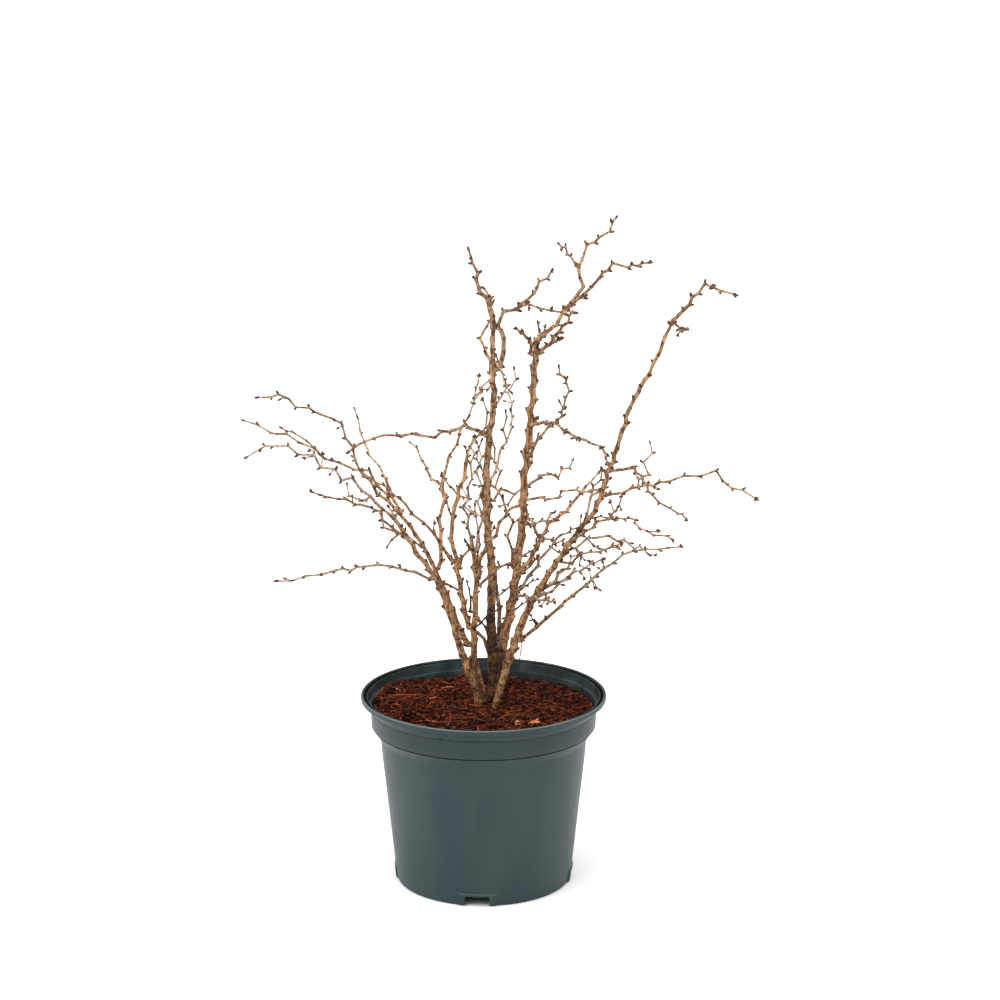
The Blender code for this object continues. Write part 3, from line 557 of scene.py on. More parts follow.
# %% Stools, stems and boughs
ROOTED = (
    ("stool_left", (5.2, 4.6),
     "-2,3,139 -4,3,150 -8,2,165"),
    ("stool_centre", (7.0, 6.0),
     "9,17,139 10,17,158 10,17,178"),
    ("stem_leaning", (3.3, 1.45),
     "8,-6,139 14,-5,161 25,-4,193 33,-6,216 43,-8,235 58,-10,259 66,-12,273 79,-14,290 "
     "88,-16,306 93,-17,324 100,-19,346 111,-22,382 126,-25,410 139,-28,442"),
)
STEMS = (
    ("stem_left_outer", "stool_left", (3.0, 1.3),
     "-8,2,166 -18,-2,184 -26,-6,216 -35,-10,242 -42,-12,255 -55,-14,269 -60,-15,281 -68,-16,292"),
    ("stem_left_inner", "stool_left", (2.8, 1.6),
     "-8,2,166 -9,4,184 -7,6,207 -5,2,235 -9,-7,272"),
    ("stem_left_second", "stem_left_inner", (2.1, 1.2),
     "-9,5,184 -21,9,206 -27,12,221 -34,14,236 -39,17,247 -49,20,266 -58,22,278 -68,24,290 "
     "-80,26,300"),
    ("stem_left_tall", "stem_left_inner", (2.2, 1.3),
     "-10,5,197 -16,12,220 -21,20,246 -25,34,277 -20,42,295 -15,50,311 -13,56,324"),
    ("stem_centre", "stool_centre", (3.7, 1.6),
     "6,17,180 5,12,206 7,9,233 4,5,270 1,1,298 3,-4,327 4,-8,351 7,-11,371 8,-15,395 7,-20,418 "
     "8,-24,439"),
    ("stem_right_tall", "stool_centre", (3.8, 2.1),
     "11,17,180 20,21,202 24,20,230 28,19,262 31,18,286 31,17,306 33,15,334 36,13,366 38,12,389 "
     "40,10,419"),
    ("stem_back", "stool_centre", (1.8, 1.2),
     "11,17,168 13,36,193 11,50,211 9,66,226 5,84,246 4,100,266 4,112,286"),
    ("bough_fan", "stem_left_second", (1.4, 1.1),
     "-63,23,284 -69,32,293 -73,39,301 -76,45,308"),
    ("bough_back_left", "stem_left_second", (1.6, 1.2),
     "-35,15,242 -33,24,259 -34,40,281 -31,48,293 -32,60,306 -28,72,318"),
    ("bough_top_right", "stem_right_tall", (1.8, 1.4),
     "40,10,419 49,13,431 67,18,452"),
    ("bough_low_right", "stem_leaning", (1.5, 1.1),
     "27,-4,191 38,-14,204 47,-22,214 56,-30,224 62,-36,234 76,-46,247"),
    ("bough_right", "stem_right_tall", (1.7, 1.2),
     "27,19,237 34,26,246 41,33,253 45,42,263 53,54,274 65,66,276 71,76,283 78,83,290"),
)

# %% Twigs of the left side
LEFT_MASSES = (
    ("mass_left_high", "stem_left_second", 1.15,
     "-80,26,301 -87,24,311 -93,22,316 -100,10,339 -108,-6,364 -133,-26,379 -152,-40,392 "
     "-166,-50,392"),
    ("mass_left_far", "stem_left_second", 1.15,
     "-74,25,295 -79,29,306 -89,31,317 -123,38,327 -140,42,339 -176,48,349 -186,50,354",
     "-123,40,327 -139,28,345 -154,17,355"),
    ("mass_left_front", "stem_left_outer", 1.3,
     "-69,-16,293 -73,-18,297 -81,-22,307 -89,-27,315 -96,-33,324 -107,-46,332 -130,-66,353 "
     "-157,-82,363 -171,-90,356",
     "-81,-22,307 -87,-22,306 -99,-20,310 -103,-10,317"),
    ("mass_left_low", "stem_left_outer", 1.15,
     "-60,-15,280 -69,-24,286 -76,-38,302 -83,-48,308 -92,-62,314 -105,-86,324 -123,-113,336",
     "-64,-20,282 -74,-20,286 -78,-10,294",
     "-66,-22,284 -69,-28,278 -72,-36,275"),
    ("mass_left_back", "bough_fan", 1.15,
     "-77,46,309 -87,62,321 -95,78,332 -103,105,352"),
    ("mass_left_level", "stem_left_outer", 1.15,
     "-36,-10,243 -56,-22,252 -76,-36,261 -103,-52,262 -130,-66,260 -152,-79,260"),
    ("mass_left_crossing", "stem_left_tall", 1.5,
     "-21,20,248 -34,32,262 -46,44,274 -58,54,280 -67,64,289 -78,76,294 -96,92,303"),
    ("mass_back_left", "bough_back_left", 1.15,
     "-32,56,302 -42,72,305 -48,90,312 -59,116,322"),
    ("mass_back_left_top", "bough_back_left", 1.15,
     "-28,72,319 -20,82,332 -17,92,341 -8,104,359 -4,119,376",
     "-8,104,359 -3,114,366 4,126,371"),
)

# %% Twigs of the middle
MIDDLE_MASSES = (
    ("mass_inner_left_top", "stem_left_tall", 1.15,
     "-13,57,325 -6,61,335 0,66,343 2,75,356 -1,84,364"),
    ("mass_inner_front", "stem_left_inner", 1.15,
     "-9,-7,273 -12,-16,287 -13,-32,308 -9,-48,329 -8,-62,348 -7,-72,360 -6,-82,370",
     "-13,-34,311 -21,-50,321 -24,-60,328 -30,-80,341",
     "-13,-26,300 -6,-40,299 -6,-50,311"),
    ("mass_inner_mid", "stem_left_inner", 1.15,
     "-7,-4,260 -3,2,275 -2,14,299 -3,26,316 -5,38,339"),
    ("mass_front_left", "stem_centre", 1.15,
     "4,-9,355 -4,-20,361 -15,-34,367 -26,-47,366 -39,-62,365 -59,-84,372 -80,-106,374 "
     "-95,-122,367"),
    ("mass_top_left", "stem_centre", 1.15,
     "8,-24,440 8,-28,450 2,-36,462 -2,-42,471 -5,-50,482 -5,-58,492 -10,-66,504",
     "7,-30,452 6,-24,460 1,-18,468"),
    ("mass_top_centre", "stem_centre", 1.4,
     "9,-18,406 16,-20,420 14,-23,433 13,-28,443 19,-34,453 27,-42,459 39,-56,472 44,-66,483 "
     "50,-79,491",
     "25,-40,457 35,-50,462 49,-66,458 67,-84,461"),
    ("mass_top_inner", "stem_centre", 1.15,
     "7,-16,399 4,-6,412 1,4,421 -2,10,426 5,28,436"),
    ("mass_back_tall", "stem_centre", 1.15,
     "3,0,309 10,18,323 13,32,335 20,46,343 22,60,354 21,78,371 24,98,386",
     "20,46,343 17,38,353 17,28,366"),
    ("mass_back_inner", "stem_right_tall", 1.15,
     "26,19,240 21,28,254 20,34,264 22,42,275 17,50,284 11,60,296 10,74,313 6,94,331"),
    ("mass_front_crossing", "stem_left_inner", 1.15,
     "-5,1,234 4,-16,247 15,-34,260 22,-46,266 33,-62,277 44,-86,292"),
    ("mass_front_far", "stem_left_inner", 1.5,
     "-6,-2,242 -3,-8,254 1,-18,269 10,-32,285 13,-40,295 18,-50,306 27,-60,312 35,-72,320 "
     "45,-86,326 50,-94,324 59,-108,335 70,-124,338 83,-148,346"),
    ("mass_front_low", "stem_right_tall", 1.15,
     "24,20,219 33,2,225 39,-16,229 44,-30,230 49,-44,236 54,-66,239"),
    ("mass_far_back", "stem_back", 1.15,
     "4,112,287 3,128,303 4,140,319 -10,152,326"),
    ("mass_far_back_right", "stem_back", 1.15,
     "4,106,275 15,118,285 23,130,276 31,138,280 36,146,297 44,156,320",
     "22,128,276 18,138,266 12,148,262"),
)

# %% Twigs of the right side
RIGHT_MASSES = (
    ("mass_fork", "stem_right_tall", 1.4,
     "39,10,412 35,3,425 30,-4,432 25,-12,437"),
    ("mass_fork_right", "stem_right_tall", 1.15,
     "39,10,414 55,-4,431 66,-23,451"),
    ("mass_top_high", "bough_top_right", 1.15,
     "67,18,452 75,22,464 73,29,477 81,38,495 90,43,497 101,53,511",
     "73,28,474 66,50,483 58,69,489"),
    ("mass_top_right", "bough_top_right", 1.15,
     "64,17,449 81,4,465 95,-16,485 108,-30,486 122,-43,491"),
    ("mass_right_upper", "stem_right_tall", 1.15,
     "35,15,332 44,-14,357 57,-40,375 62,-66,401 55,-90,423"),
    ("mass_front_mid", "stem_right_tall", 1.15,
     "36,13,358 52,-14,366 69,-54,363 87,-90,363 90,-106,355"),
    ("mass_back_mid", "stem_right_tall", 1.15,
     "31,16,307 49,50,312 58,70,305 71,102,311"),
    ("mass_front_inner", "stem_right_tall", 1.15,
     "30,17,288 38,-8,287 46,-30,294 53,-58,307"),
    ("mass_back_low", "stem_right_tall", 1.15,
     "29,18,279 35,24,279 40,34,272 43,50,261 52,68,254 66,99,243"),
    ("mass_right_inner", "stem_right_tall", 1.5,
     "26,20,224 34,15,239 44,10,253 50,5,261 53,-1,269 61,-8,279 71,-18,285",
     "50,5,261 57,12,258 64,22,258"),
    ("mass_leaning_top", "stem_leaning", 1.15,
     "139,-28,443 148,-32,454 157,-38,469 166,-42,474 175,-48,473 184,-53,469",
     "143,-30,447 148,-14,436 153,1,435"),
    ("mass_right_low", "bough_low_right", 1.15,
     "76,-46,248 91,-62,266 112,-84,285 122,-94,288 143,-117,296"),
    ("mass_right_far", "stem_leaning", 1.15,
     "90,-17,309 118,-26,319 154,-36,329 172,-40,334 184,-43,323 203,-48,315",
     "112,-24,317 123,-4,324 127,20,336 128,29,341"),
    ("mass_right_back", "stem_leaning", 1.15,
     "95,-18,328 111,0,328 122,14,316 131,28,299 159,58,273"),
    ("mass_right_front", "stem_leaning", 1.15,
     "67,-13,274 87,-40,295 97,-56,305 102,-74,323",
     "90,-46,298 109,-78,307 119,-100,303 136,-132,305"),
    ("mass_right_low_back", "stem_leaning", 1.15,
     "61,-11,264 88,20,269 108,40,260 136,76,239",
     "80,12,267 90,32,256 108,60,251"),
    ("mass_right_end", "bough_right", 1.15,
     "78,83,291 88,97,297 94,111,302"),
    ("mass_low_back", "stem_leaning", 1.15,
     "42,-8,233 56,14,236 68,36,245 76,51,248"),
    ("mass_low_front", "stem_leaning", 1.15,
     "41,-8,229 50,-17,234 57,-24,242 62,-34,250 70,-48,259 79,-64,268 88,-82,278"),
)

# %% Grow it
shrub = Shrub()
for row in ROOTED:
    shrub.rooted(*row)
for row in STEMS:
    shrub.grow(*row)
for row in LEFT_MASSES + MIDDLE_MASSES + RIGHT_MASSES:
    shrub.mass(*row)
arm_count = sum(len(limb.arms) for limb in shrub.limbs.values())
print(len(shrub.limbs), "limbs,", arm_count, "side twigs")

# %% [markdown]
# ## From lines to wood
#
# Real wood isn't a pipe. A young cherry stem runs almost straight from node to node,
# bends a little at each, and swells there under a bud. Each limb's line is therefore
# turned into nodes, each node is set off to the side that its bud sits on, and rings
# are laid along the line, closer together round a node so that the bend stays crisp.
# Every ring is a little out of round. All rings are numbers in arrays, because
# thousands of them become one mesh in a moment that way.

# %% Nodes along a limb
SPLIT_ABOVE = 8.0
YOUNG_RISE = (270.0, 330.0)
YOUNG_BEND, YOUNG_SPREAD = 0.8, 0.35


def ramp(start, end, value):
    """From 0 at the start to 1 at the end, easing in and out."""
    share = min(1.0, max(0.0, (value - start) / (end - start)))
    return share * share * (3.0 - 2.0 * share)


def nodes_of(points, radii, split_share, kink, chance):
    """Where a limb bends and bears buds: its points, some halfway ones, and each one's side."""
    nodes, sizes = [points[0].copy()], [radii[0]]
    for index in range(len(points) - 1):
        start, end = points[index], points[index + 1]
        if (end - start).length > SPLIT_ABOVE and chance.random() < split_share:
            share = chance.uniform(0.38, 0.62)
            nodes.append(start.lerp(end, share))
            sizes.append(mixed(radii[index], radii[index + 1], share))
        nodes.append(end.copy())
        sizes.append(radii[index + 1])
    sides = [Vector((0, 0, 0))]
    turn = chance.uniform(0, math.tau)
    moved = [nodes[0]]
    for before, node, after in zip(nodes, nodes[1:], nodes[2:]):
        turn += math.pi + chance.uniform(-0.75, 0.75)
        side = facing((after - before).normalized(), turn)
        room = min((node - before).length, (after - node).length)
        bend = kink * (1.0 + YOUNG_BEND * ramp(*YOUNG_RISE, node.z))
        moved.append(node + side * min(bend, 0.16 * room) * chance.uniform(0.55, 1.15))
        sides.append(side)
    moved.append(nodes[-1])
    sides.append(Vector((0, 0, 0)))
    return moved, sizes, sides


def rings_between(nodes, sizes, sides, bulge, reach, step):
    """Ring centres and radii from node to node, closer and thicker round each node."""
    centres, widths = [], []
    last = len(nodes) - 1
    for index in range(last):
        start, end = nodes[index], nodes[index + 1]
        length = (end - start).length
        near = [distance for distance in (reach * 0.55, reach * 1.3) if distance < length * 0.45]
        distances = [0.0] + near
        low = distances[-1]
        middle = length - low - low
        count = max(1, round(middle / step))
        distances += [low + middle * (number + 1) / count for number in range(count)]
        distances += [length - distance for distance in reversed(near)][1:]
        for distance in distances:
            share = distance / length
            rise = [0.0, 0.0]
            if index > 0:
                rise[0] = math.exp(-(distance / reach) ** 2)
            if index + 1 < last:
                rise[1] = math.exp(-((length - distance) / reach) ** 2)
            lean = sides[index] * rise[0] + sides[index + 1] * rise[1]
            centres.append(start.lerp(end, share) + lean * bulge * 0.6)
            widths.append(mixed(sizes[index], sizes[index + 1], share) + bulge * max(rise))
    centres.append(nodes[-1])
    widths.append(sizes[-1])
    return centres, widths


# %% A pile of wood in arrays
def strips(rings, around):
    """The quads between rings of points, as corner numbers."""
    ring = np.arange(around)
    following = (ring + 1) % around
    lows = np.arange(rings - 1)[:, None] * around
    return np.stack([lows + ring, lows + following, lows + around + following,
                     lows + around + ring], axis=2).reshape(-1, 4)


class Pile:
    """Collects many shapes as arrays, to become one mesh."""

    def __init__(self):
        self.points = []
        self.quads = []
        self.triangles = [np.zeros((0, 3), dtype=int)]
        self.count = 0

    def shape(self, points, quads, triangles=None):
        self.points.append(np.asarray(points, dtype=float))
        self.quads.append(quads + self.count)
        if triangles is not None:
            self.triangles.append(triangles + self.count)
        self.count += len(points)

    def tube(self, centres, widths, around, relief, chance):
        """A closed tube of rings, uneven by a share of its radius."""
        total = len(centres)
        across = sideways((centres[1] - centres[0]).normalized())[0]
        angles = np.arange(around) * math.tau / around
        phases = [chance.uniform(0, math.tau) for _ in range(4)]
        rings = np.zeros((total, around, 3))
        travelled = 0.0
        for index, centre in enumerate(centres):
            before = centres[max(0, index - 1)]
            after = centres[min(total - 1, index + 1)]
            along = (after - before).normalized()
            across = (across - along * across.dot(along)).normalized()
            other = along.cross(across)
            travelled += (centre - before).length
            wave = (0.45 * np.sin(2 * angles + travelled * 0.13 + phases[0])
                    + 0.35 * np.sin(3 * angles - travelled * 0.31 + phases[1])
                    + 0.35 * np.sin(4 * angles + travelled * 0.83 + phases[2])
                    + 0.30 * np.sin(travelled * 1.7 + 1.6 * np.sin(angles + phases[3])))
            size = widths[index] * (1.0 + relief * wave)
            circle = np.outer(np.cos(angles), across) + np.outer(np.sin(angles), other)
            rings[index] = np.array(centre) + size[:, None] * circle
        ring = np.arange(around)
        following = (ring + 1) % around
        top, middle = (total - 1) * around, np.full(around, total * around)
        caps = [np.stack([following, ring, middle], axis=1),
                np.stack([top + ring, top + following, middle + 1], axis=1)]
        points = np.concatenate([rings.reshape(-1, 3), np.array([centres[0], centres[-1]])])
        self.shape(points, strips(total, around), np.concatenate(caps))

    def piece(self, name, material, smooth=True):
        arrays = map(np.concatenate, (self.points, self.quads, self.triangles))
        return piece_from_arrays(name, *arrays, material, smooth)


# %% [markdown]
# ## Where a branch leaves its parent
#
# The solids keep a hair's breadth apart, but wood is one body, so each line is run
# back to its parent's core and thickened there. That gives the collar that a real
# branch has where it leaves a stem.

# %% Seating a limb in its parent
SEAT_REACH = 2.5


def parent_core(point, grown_before):
    """The gap to the nearest older limb, the nearest place on its core, and its radius."""
    best = None
    for other in grown_before:
        for points, radii in [(other.points, other.radii)] + other.arms:
            for index in range(len(points) - 1):
                place, size, _ = nearest_on(points, radii, index, point)
                gap = (point - place).length - size
                if best is None or gap < best[0]:
                    best = (gap, place, size)
    return best


def seated(limb, grown_before):
    """The limb's line run back into its parent, with a collar where it leaves."""
    points, radii = list(limb.points), list(limb.radii)
    if grown_before:
        gap, place, size = parent_core(points[0], grown_before)
        if gap <= SEAT_REACH:
            collar = [min(radii[0] * 1.35, size * 0.8), min(radii[0] * 1.22, size * 0.95)]
            return [place.lerp(points[0], 0.25)] + points, collar + radii[1:]
    return points, radii


# %% [markdown]
# At the foot the stems don't stand on a block. Each runs on down as a ridge of its own,
# pressed against its neighbours, until it goes into the mulch. The stool's own wood only
# fills the middle between them.

# %% Carrying a stem down to the mulch
STEM_FOOT = 136.5
FOOT_TOP = 178.0
SMOOTH_BELOW = 255.0
FOOT_STEPS = 6


def at_height(points, height):
    """The place on a rising line at a height."""
    for low, high in zip(points, points[1:]):
        if high.z >= height:
            return low.lerp(high, (height - low.z) / (high.z - low.z))
    return points[-1].copy()


def ridge_down(limb, stool):
    """A stem's ridge down the side of its stool, as a line that rises from the mulch."""
    start, thick = limb.points[0], limb.radii[0]
    away = start - stool.points[-1]
    away.z = 0.0
    points, radii = [], []
    for share in (0.0, 0.2, 0.42, 0.64, 0.84):
        height = STEM_FOOT + (start.z - STEM_FOOT) * share
        points.append(at_height(stool.points, height) + away * (0.62 + 0.38 * share ** 2))
        radii.append(thick * (0.97 + 0.28 * (1.0 - share) ** 3))
    return points + [start, limb.points[1]], radii + [thick * 0.94, thick * 0.55]


def smoothed(points):
    """A stem's line with half of each small jog taken out of its old, thick stretch."""
    calmer = [start.lerp((before + after) / 2, 0.5 if start.z < SMOOTH_BELOW else 0.0)
              for before, start, after in zip(points, points[1:], points[2:])]
    return [points[0]] + calmer + [points[-1]]


def straight_foot(points, radii):
    """A stem's line with its lowest stretch made straight, and thinner to the mulch."""
    first = next(index for index, point in enumerate(points) if point.z > FOOT_TOP)
    foot = points[0].copy()
    foot.z = STEM_FOOT
    low_points = [foot.lerp(points[first], step / FOOT_STEPS) for step in range(FOOT_STEPS)]
    low_radii = [radii[first] * (0.74 + 0.26 * step / FOOT_STEPS) for step in range(FOOT_STEPS)]
    return low_points + points[first:], low_radii + radii[first:]


# %% [markdown]
# ## Bark
#
# Young cherry bark is a warm tan-brown, darker and greyer on old wood, crossed by
# short corky lenticels. Noise on Object coordinates gives patches, mottling and a fine
# grain. The lenticels are noise squeezed along the height, and the bump lets the light
# catch them. Higher up the wood is younger and paler, with fewer lenticels and more
# lengthwise streaks. Below a given height the bark turns darker towards the foot of the stems.

# %% Bark material
YOUNG_FROM, YOUNG_ABOVE = 0.255, 0.335
PALE_STEM, PALE_TWIG, PALE_TOP = (0.405, 0.232, 0.122), (0.500, 0.345, 0.232), (0.385, 0.245, 0.150)


def bark_material(name, light, dark, cork, pale=PALE_TWIG, low_tones=None, rough=0.7):
    """Bark from a light and a dark colour; the optional pair of darker colours for its foot comes
    with the two heights where they give way.
    """
    material, shader, place = new_material(name, 0.66, 0.18)
    patches = place.noise(110.0, 2.0)
    mottle = place.noise(420.0, 3.0, (1.0, 1.0, 0.55))
    grain = place.noise(1500.0, 3.0, (1.0, 1.0, 0.18))
    corks = place.noise(560.0, 1.0, (0.45, 0.45, 1.7))
    streaks = place.noise(420.0, 2.0, (1.0, 1.0, 0.16))
    height = place.height() + patches * 0.05
    young = height.between(YOUNG_FROM, YOUNG_ABOVE)
    blotched = patches * 0.26 + mottle * 0.40 + grain * 0.34
    streaked = streaks * 0.60 + mottle * 0.22 + grain * 0.18
    shade = (blotched + (streaked - blotched) * (young * 0.8)).between(0.415, 0.575)
    body = shade.blend(dark, (young * 0.5).blend(light, pale))
    # Below the first height the bark takes the darker pair, above the second its usual colours.
    if low_tones:
        low_dark, low_light, dark_below, plain_above = low_tones
        body = height.between(dark_below, plain_above).blend(shade.blend(low_dark, low_light), body)
    body = (corks.between(0.57, 0.65) * (young * -0.4 + 0.85)).blend(body, cork)
    feed(shader, "Base Color", body)
    bump(shader, corks * 0.4 + mottle * 0.3 + grain * 0.3, 0.9, rough * MM)
    return material


stem_bark = bark_material(
    "stem_bark", (0.390, 0.212, 0.098), (0.086, 0.037, 0.014), (0.040, 0.017, 0.008), PALE_STEM,
    ((0.042, 0.018, 0.008), (0.240, 0.120, 0.050), 0.155, 0.205), 0.9)
dark_bark = bark_material(
    "stem_bark_dark", (0.350, 0.197, 0.096), (0.085, 0.039, 0.016), (0.038, 0.017, 0.008), PALE_STEM,
    ((0.016, 0.008, 0.005), (0.085, 0.040, 0.019), 0.215, 0.268), 1.0)
old_bark = bark_material(
    "old_bark", (0.160, 0.076, 0.033), (0.022, 0.009, 0.005), (0.012, 0.006, 0.004), rough=1.8)
twig_tan = bark_material(
    "twig_bark_tan", (0.315, 0.178, 0.088), (0.086, 0.038, 0.015), (0.050, 0.022, 0.011), PALE_TOP)
twig_grey = bark_material(
    "twig_bark_grey", (0.350, 0.250, 0.168), (0.130, 0.083, 0.050), (0.060, 0.034, 0.021))
twig_dead = bark_material(
    "twig_bark_dead", (0.080, 0.050, 0.034), (0.020, 0.013, 0.010), (0.010, 0.007, 0.006))

# %% [markdown]
# ## Buds
#
# A bud is a plump egg a few millimetres long, of dark overlapping scales. It sits in
# the outer side of each bend, leans well forward, and stands on a cushion of bark.
# Flower buds crowd in twos and threes. Their colours are dealt out over three pieces,
# from nearly black to chestnut.

# %% Bud shapes
BUD_RINGS = ((0.34, 0.0), (0.48, 0.14), (0.52, 0.34), (0.47, 0.57), (0.37, 0.76), (0.19, 0.93))
BUD_SIDES = 6


def bud_shape():
    """A bud one unit long and about one wide, its scales lapping in steps."""
    points, triangles = [], []
    for row, (width, height) in enumerate(BUD_RINGS):
        for side in range(BUD_SIDES):
            angle = math.tau * (side + 0.5 * (row % 2)) / BUD_SIDES
            radius = width * (1.06 if (side + row) % 2 else 0.94)
            points.append((radius * math.cos(angle), radius * math.sin(angle), height))
    points += [(0.0, 0.0, 1.0), (0.0, 0.0, -0.04)]
    top = (len(BUD_RINGS) - 1) * BUD_SIDES
    for side in range(BUD_SIDES):
        after = (side + 1) % BUD_SIDES
        triangles.append((top + side, top + after, len(points) - 2))
        triangles.append((after, side, len(points) - 1))
    return np.array(points), strips(len(BUD_RINGS), BUD_SIDES), np.array(triangles)


BUD_POINTS, *BUD_FACES = bud_shape()


class Buds:
    """Deals buds out over piles of different colours, each with its cushion of bark."""

    def __init__(self, chance):
        self.piles = [Pile(), Pile(), Pile()]
        self.cushions = Pile()
        self.chance = chance
        self.count = 0

    def add(self, base, direction, length, width, shades):
        spin = Matrix.Rotation(self.chance.uniform(0, math.tau), 3, "Z")
        turn = np.array(direction.to_track_quat("Z", "Y").to_matrix() @ spin).T
        bud = BUD_POINTS * np.array([width, width, length])
        self.piles[self.chance.choice(shades)].shape(bud @ turn + np.array(base), *BUD_FACES)
        cushion = BUD_POINTS * np.array([width * 1.02, width * 1.02, length * 0.36])
        place = np.array(base - direction * length * 0.14)
        self.cushions.shape(cushion @ turn + place, *BUD_FACES)
        self.count += 1


buds = Buds(random.Random("buds"))

# %% [markdown]
# ## Dressing a limb
#
# One function dresses every limb, whatever its thickness: nodes, wood, and one bud or a
# few at each node. A few styles hold the differences. Stems bear blunt buds pressed
# close, twigs finer ones that stand out more and a small cluster at the tip, and dead
# wood small ones.

# %% Dress a limb
STEM_STYLE = dict(split=0.65, kink=0.7, bulge=0.42, around=16, relief=0.075, bud=3.0, crowd=0.26,
                  ends=False, shades=(0, 0, 0, 1), press=0.65)
TWIG_STYLE = dict(split=0.26, kink=1.5, bulge=0.30, around=8, relief=0.06, bud=2.8, crowd=0.07,
                  ends=True, shades=(0, 0, 1, 1, 2), press=0.8)
TOP_STYLE = dict(TWIG_STYLE, split=0.5, bud=3.1, crowd=0.2)
SPUR_STYLE = dict(TWIG_STYLE, split=0.0, kink=0.0, bulge=0.22, around=7, relief=0.05, bud=2.7,
                  crowd=0.03, shades=(0, 1, 1, 2))
FINE_STYLE = dict(TWIG_STYLE, split=0.2, kink=0.7, bulge=0.24, around=7, bud=2.6, crowd=0.06)
DEAD_STYLE = dict(TWIG_STYLE, split=0.35, kink=0.6, bulge=0.20, around=6, relief=0.08, bud=2.1,
                  crowd=0.0, shades=(0,))
THREAD_STYLE = dict(DEAD_STYLE, kink=1.0, bud=0.9, ends=False)
BARE_BELOW = 163.0
RING_STEP = 2.6


def bud_group(place, side, along, size, length, count, shades, press, chance):
    """One bud on the outer side of a bend, and others pressed against it."""
    first, second = sideways(along)
    turn = chance.uniform(0, math.tau)
    for number in range(count):
        out = side
        if number:
            turn += 2.2
            out = (side * 0.8 + first * math.cos(turn) + second * math.sin(turn)).normalized()
        sized = length * chance.uniform(0.8, 1.15) * (0.88 if number else 1.0)
        leave = (out * press + along * chance.uniform(0.65, 1.35)).normalized()
        buds.add(place + out * size, leave, sized, sized * chance.uniform(0.62, 0.76), shades)


def dress(pile, points, radii, chance, split, kink, bulge, around, relief, bud, crowd, ends, shades,
          press):
    nodes, sizes, sides = nodes_of(points, radii, split, kink, chance)
    sides = [side * (0.3 if node.z < BARE_BELOW else 1.0) for side, node in zip(sides, nodes)]
    reach = 0.9 + 0.45 * max(sizes)
    centres, widths = rings_between(nodes, sizes, sides, bulge, reach, RING_STEP)
    pile.tube(centres, widths, around, relief, chance)
    for index in range(1, len(nodes) - 1):
        node = nodes[index]
        if node.z < BARE_BELOW:
            continue
        along = (nodes[index + 1] - nodes[index - 1]).normalized()
        count = chance.choice((2, 2, 3)) if chance.random() < crowd else 1
        out = sizes[index] * 0.7 + bulge * 0.8
        spread = press + YOUNG_SPREAD * ramp(*YOUNG_RISE, node.z)
        bud_group(node, sides[index], along, out, bud, count, shades, spread, chance)
    if ends:
        along = (nodes[-1] - nodes[-2]).normalized()
        tip = nodes[-1] - along * 0.4
        buds.add(tip, along, bud * 1.1, bud * 0.7, shades)
        turn = chance.uniform(0, math.tau)
        for _ in range(chance.choice((0, 1, 1, 2))):
            turn += 2.4
            out = facing(along, turn)
            buds.add(tip + out * sizes[-1] * 0.6 - along * 0.5, (out + along * 0.9).normalized(),
                     bud * 0.9, bud * 0.64, shades)


def bare_end(points, radii):
    """A twig's line without the bud that ends it in the solids."""
    return points[:-2], radii[:-2]


# %% Stems and boughs
OLD_WOOD = ("stool_centre", "stool_left", "stem_back")
ON_STOOLS = {"stem_left_outer": "stool_left", "stem_left_inner": "stool_left",
             "stem_centre": "stool_centre", "stem_right_tall": "stool_centre"}
STOOL_SHARE = 0.72
STOOL_TOP = ((1.2, 0.86), (2.4, 0.55), (3.0, 0.2))
UPPER_GIRTH = {"stem_leaning": (-0.19, 222.0, 262.0)}
USUAL_GIRTH = (0.05, 240.0, 330.0)
stem_names = [name for name in shrub.limbs if not name.startswith("mass")]
mass_names = [name for name in shrub.limbs if name.startswith("mass")]
limbs_so_far = []
chance = random.Random("stems")
stem_pile, dark_pile, old_pile = Pile(), Pile(), Pile()
for name in stem_names:
    limb = shrub.limbs[name]
    pile = dark_pile if name == "stem_centre" else old_pile if name in OLD_WOOD else stem_pile
    if name in ON_STOOLS:
        ridge_pile = stem_pile if ON_STOOLS[name] == "stool_left" else old_pile
        ridge_pile.tube(*ridge_down(limb, shrub.limbs[ON_STOOLS[name]]), 16, 0.09, chance)
        points, radii = list(limb.points), list(limb.radii)
    else:
        points, radii = seated(limb, limbs_so_far)
    limbs_so_far.append(limb)
    if name.startswith("stool"):
        radii = [size * STOOL_SHARE for size in radii]
        tip, along = points[-1], (points[-1] - points[-2]).normalized()
        for rise, share in STOOL_TOP:
            points.append(tip + along * rise)
            radii.append(radii[3] * share)
        pile.tube(points, radii, 24, 0.15, chance)
        continue
    if name == "stem_leaning":
        points, radii = straight_foot(points, radii)
    more, low, high = UPPER_GIRTH.get(name, USUAL_GIRTH)
    radii = [size * (1.0 + more * ramp(low, high, point.z)) for point, size in zip(points, radii)]
    dress(pile, smoothed(points), radii, chance, **STEM_STYLE)

hand_over(stem_pile.piece("stems_with_bark", stem_bark), "bark",
          *[name for name in stem_names if name not in OLD_WOOD and name != "stem_centre"])
hand_over(dark_pile.piece("middle_stem", dark_bark), "bark", "stem_centre")
hand_over(old_pile.piece("old_wood", old_bark), "bark", *OLD_WOOD)

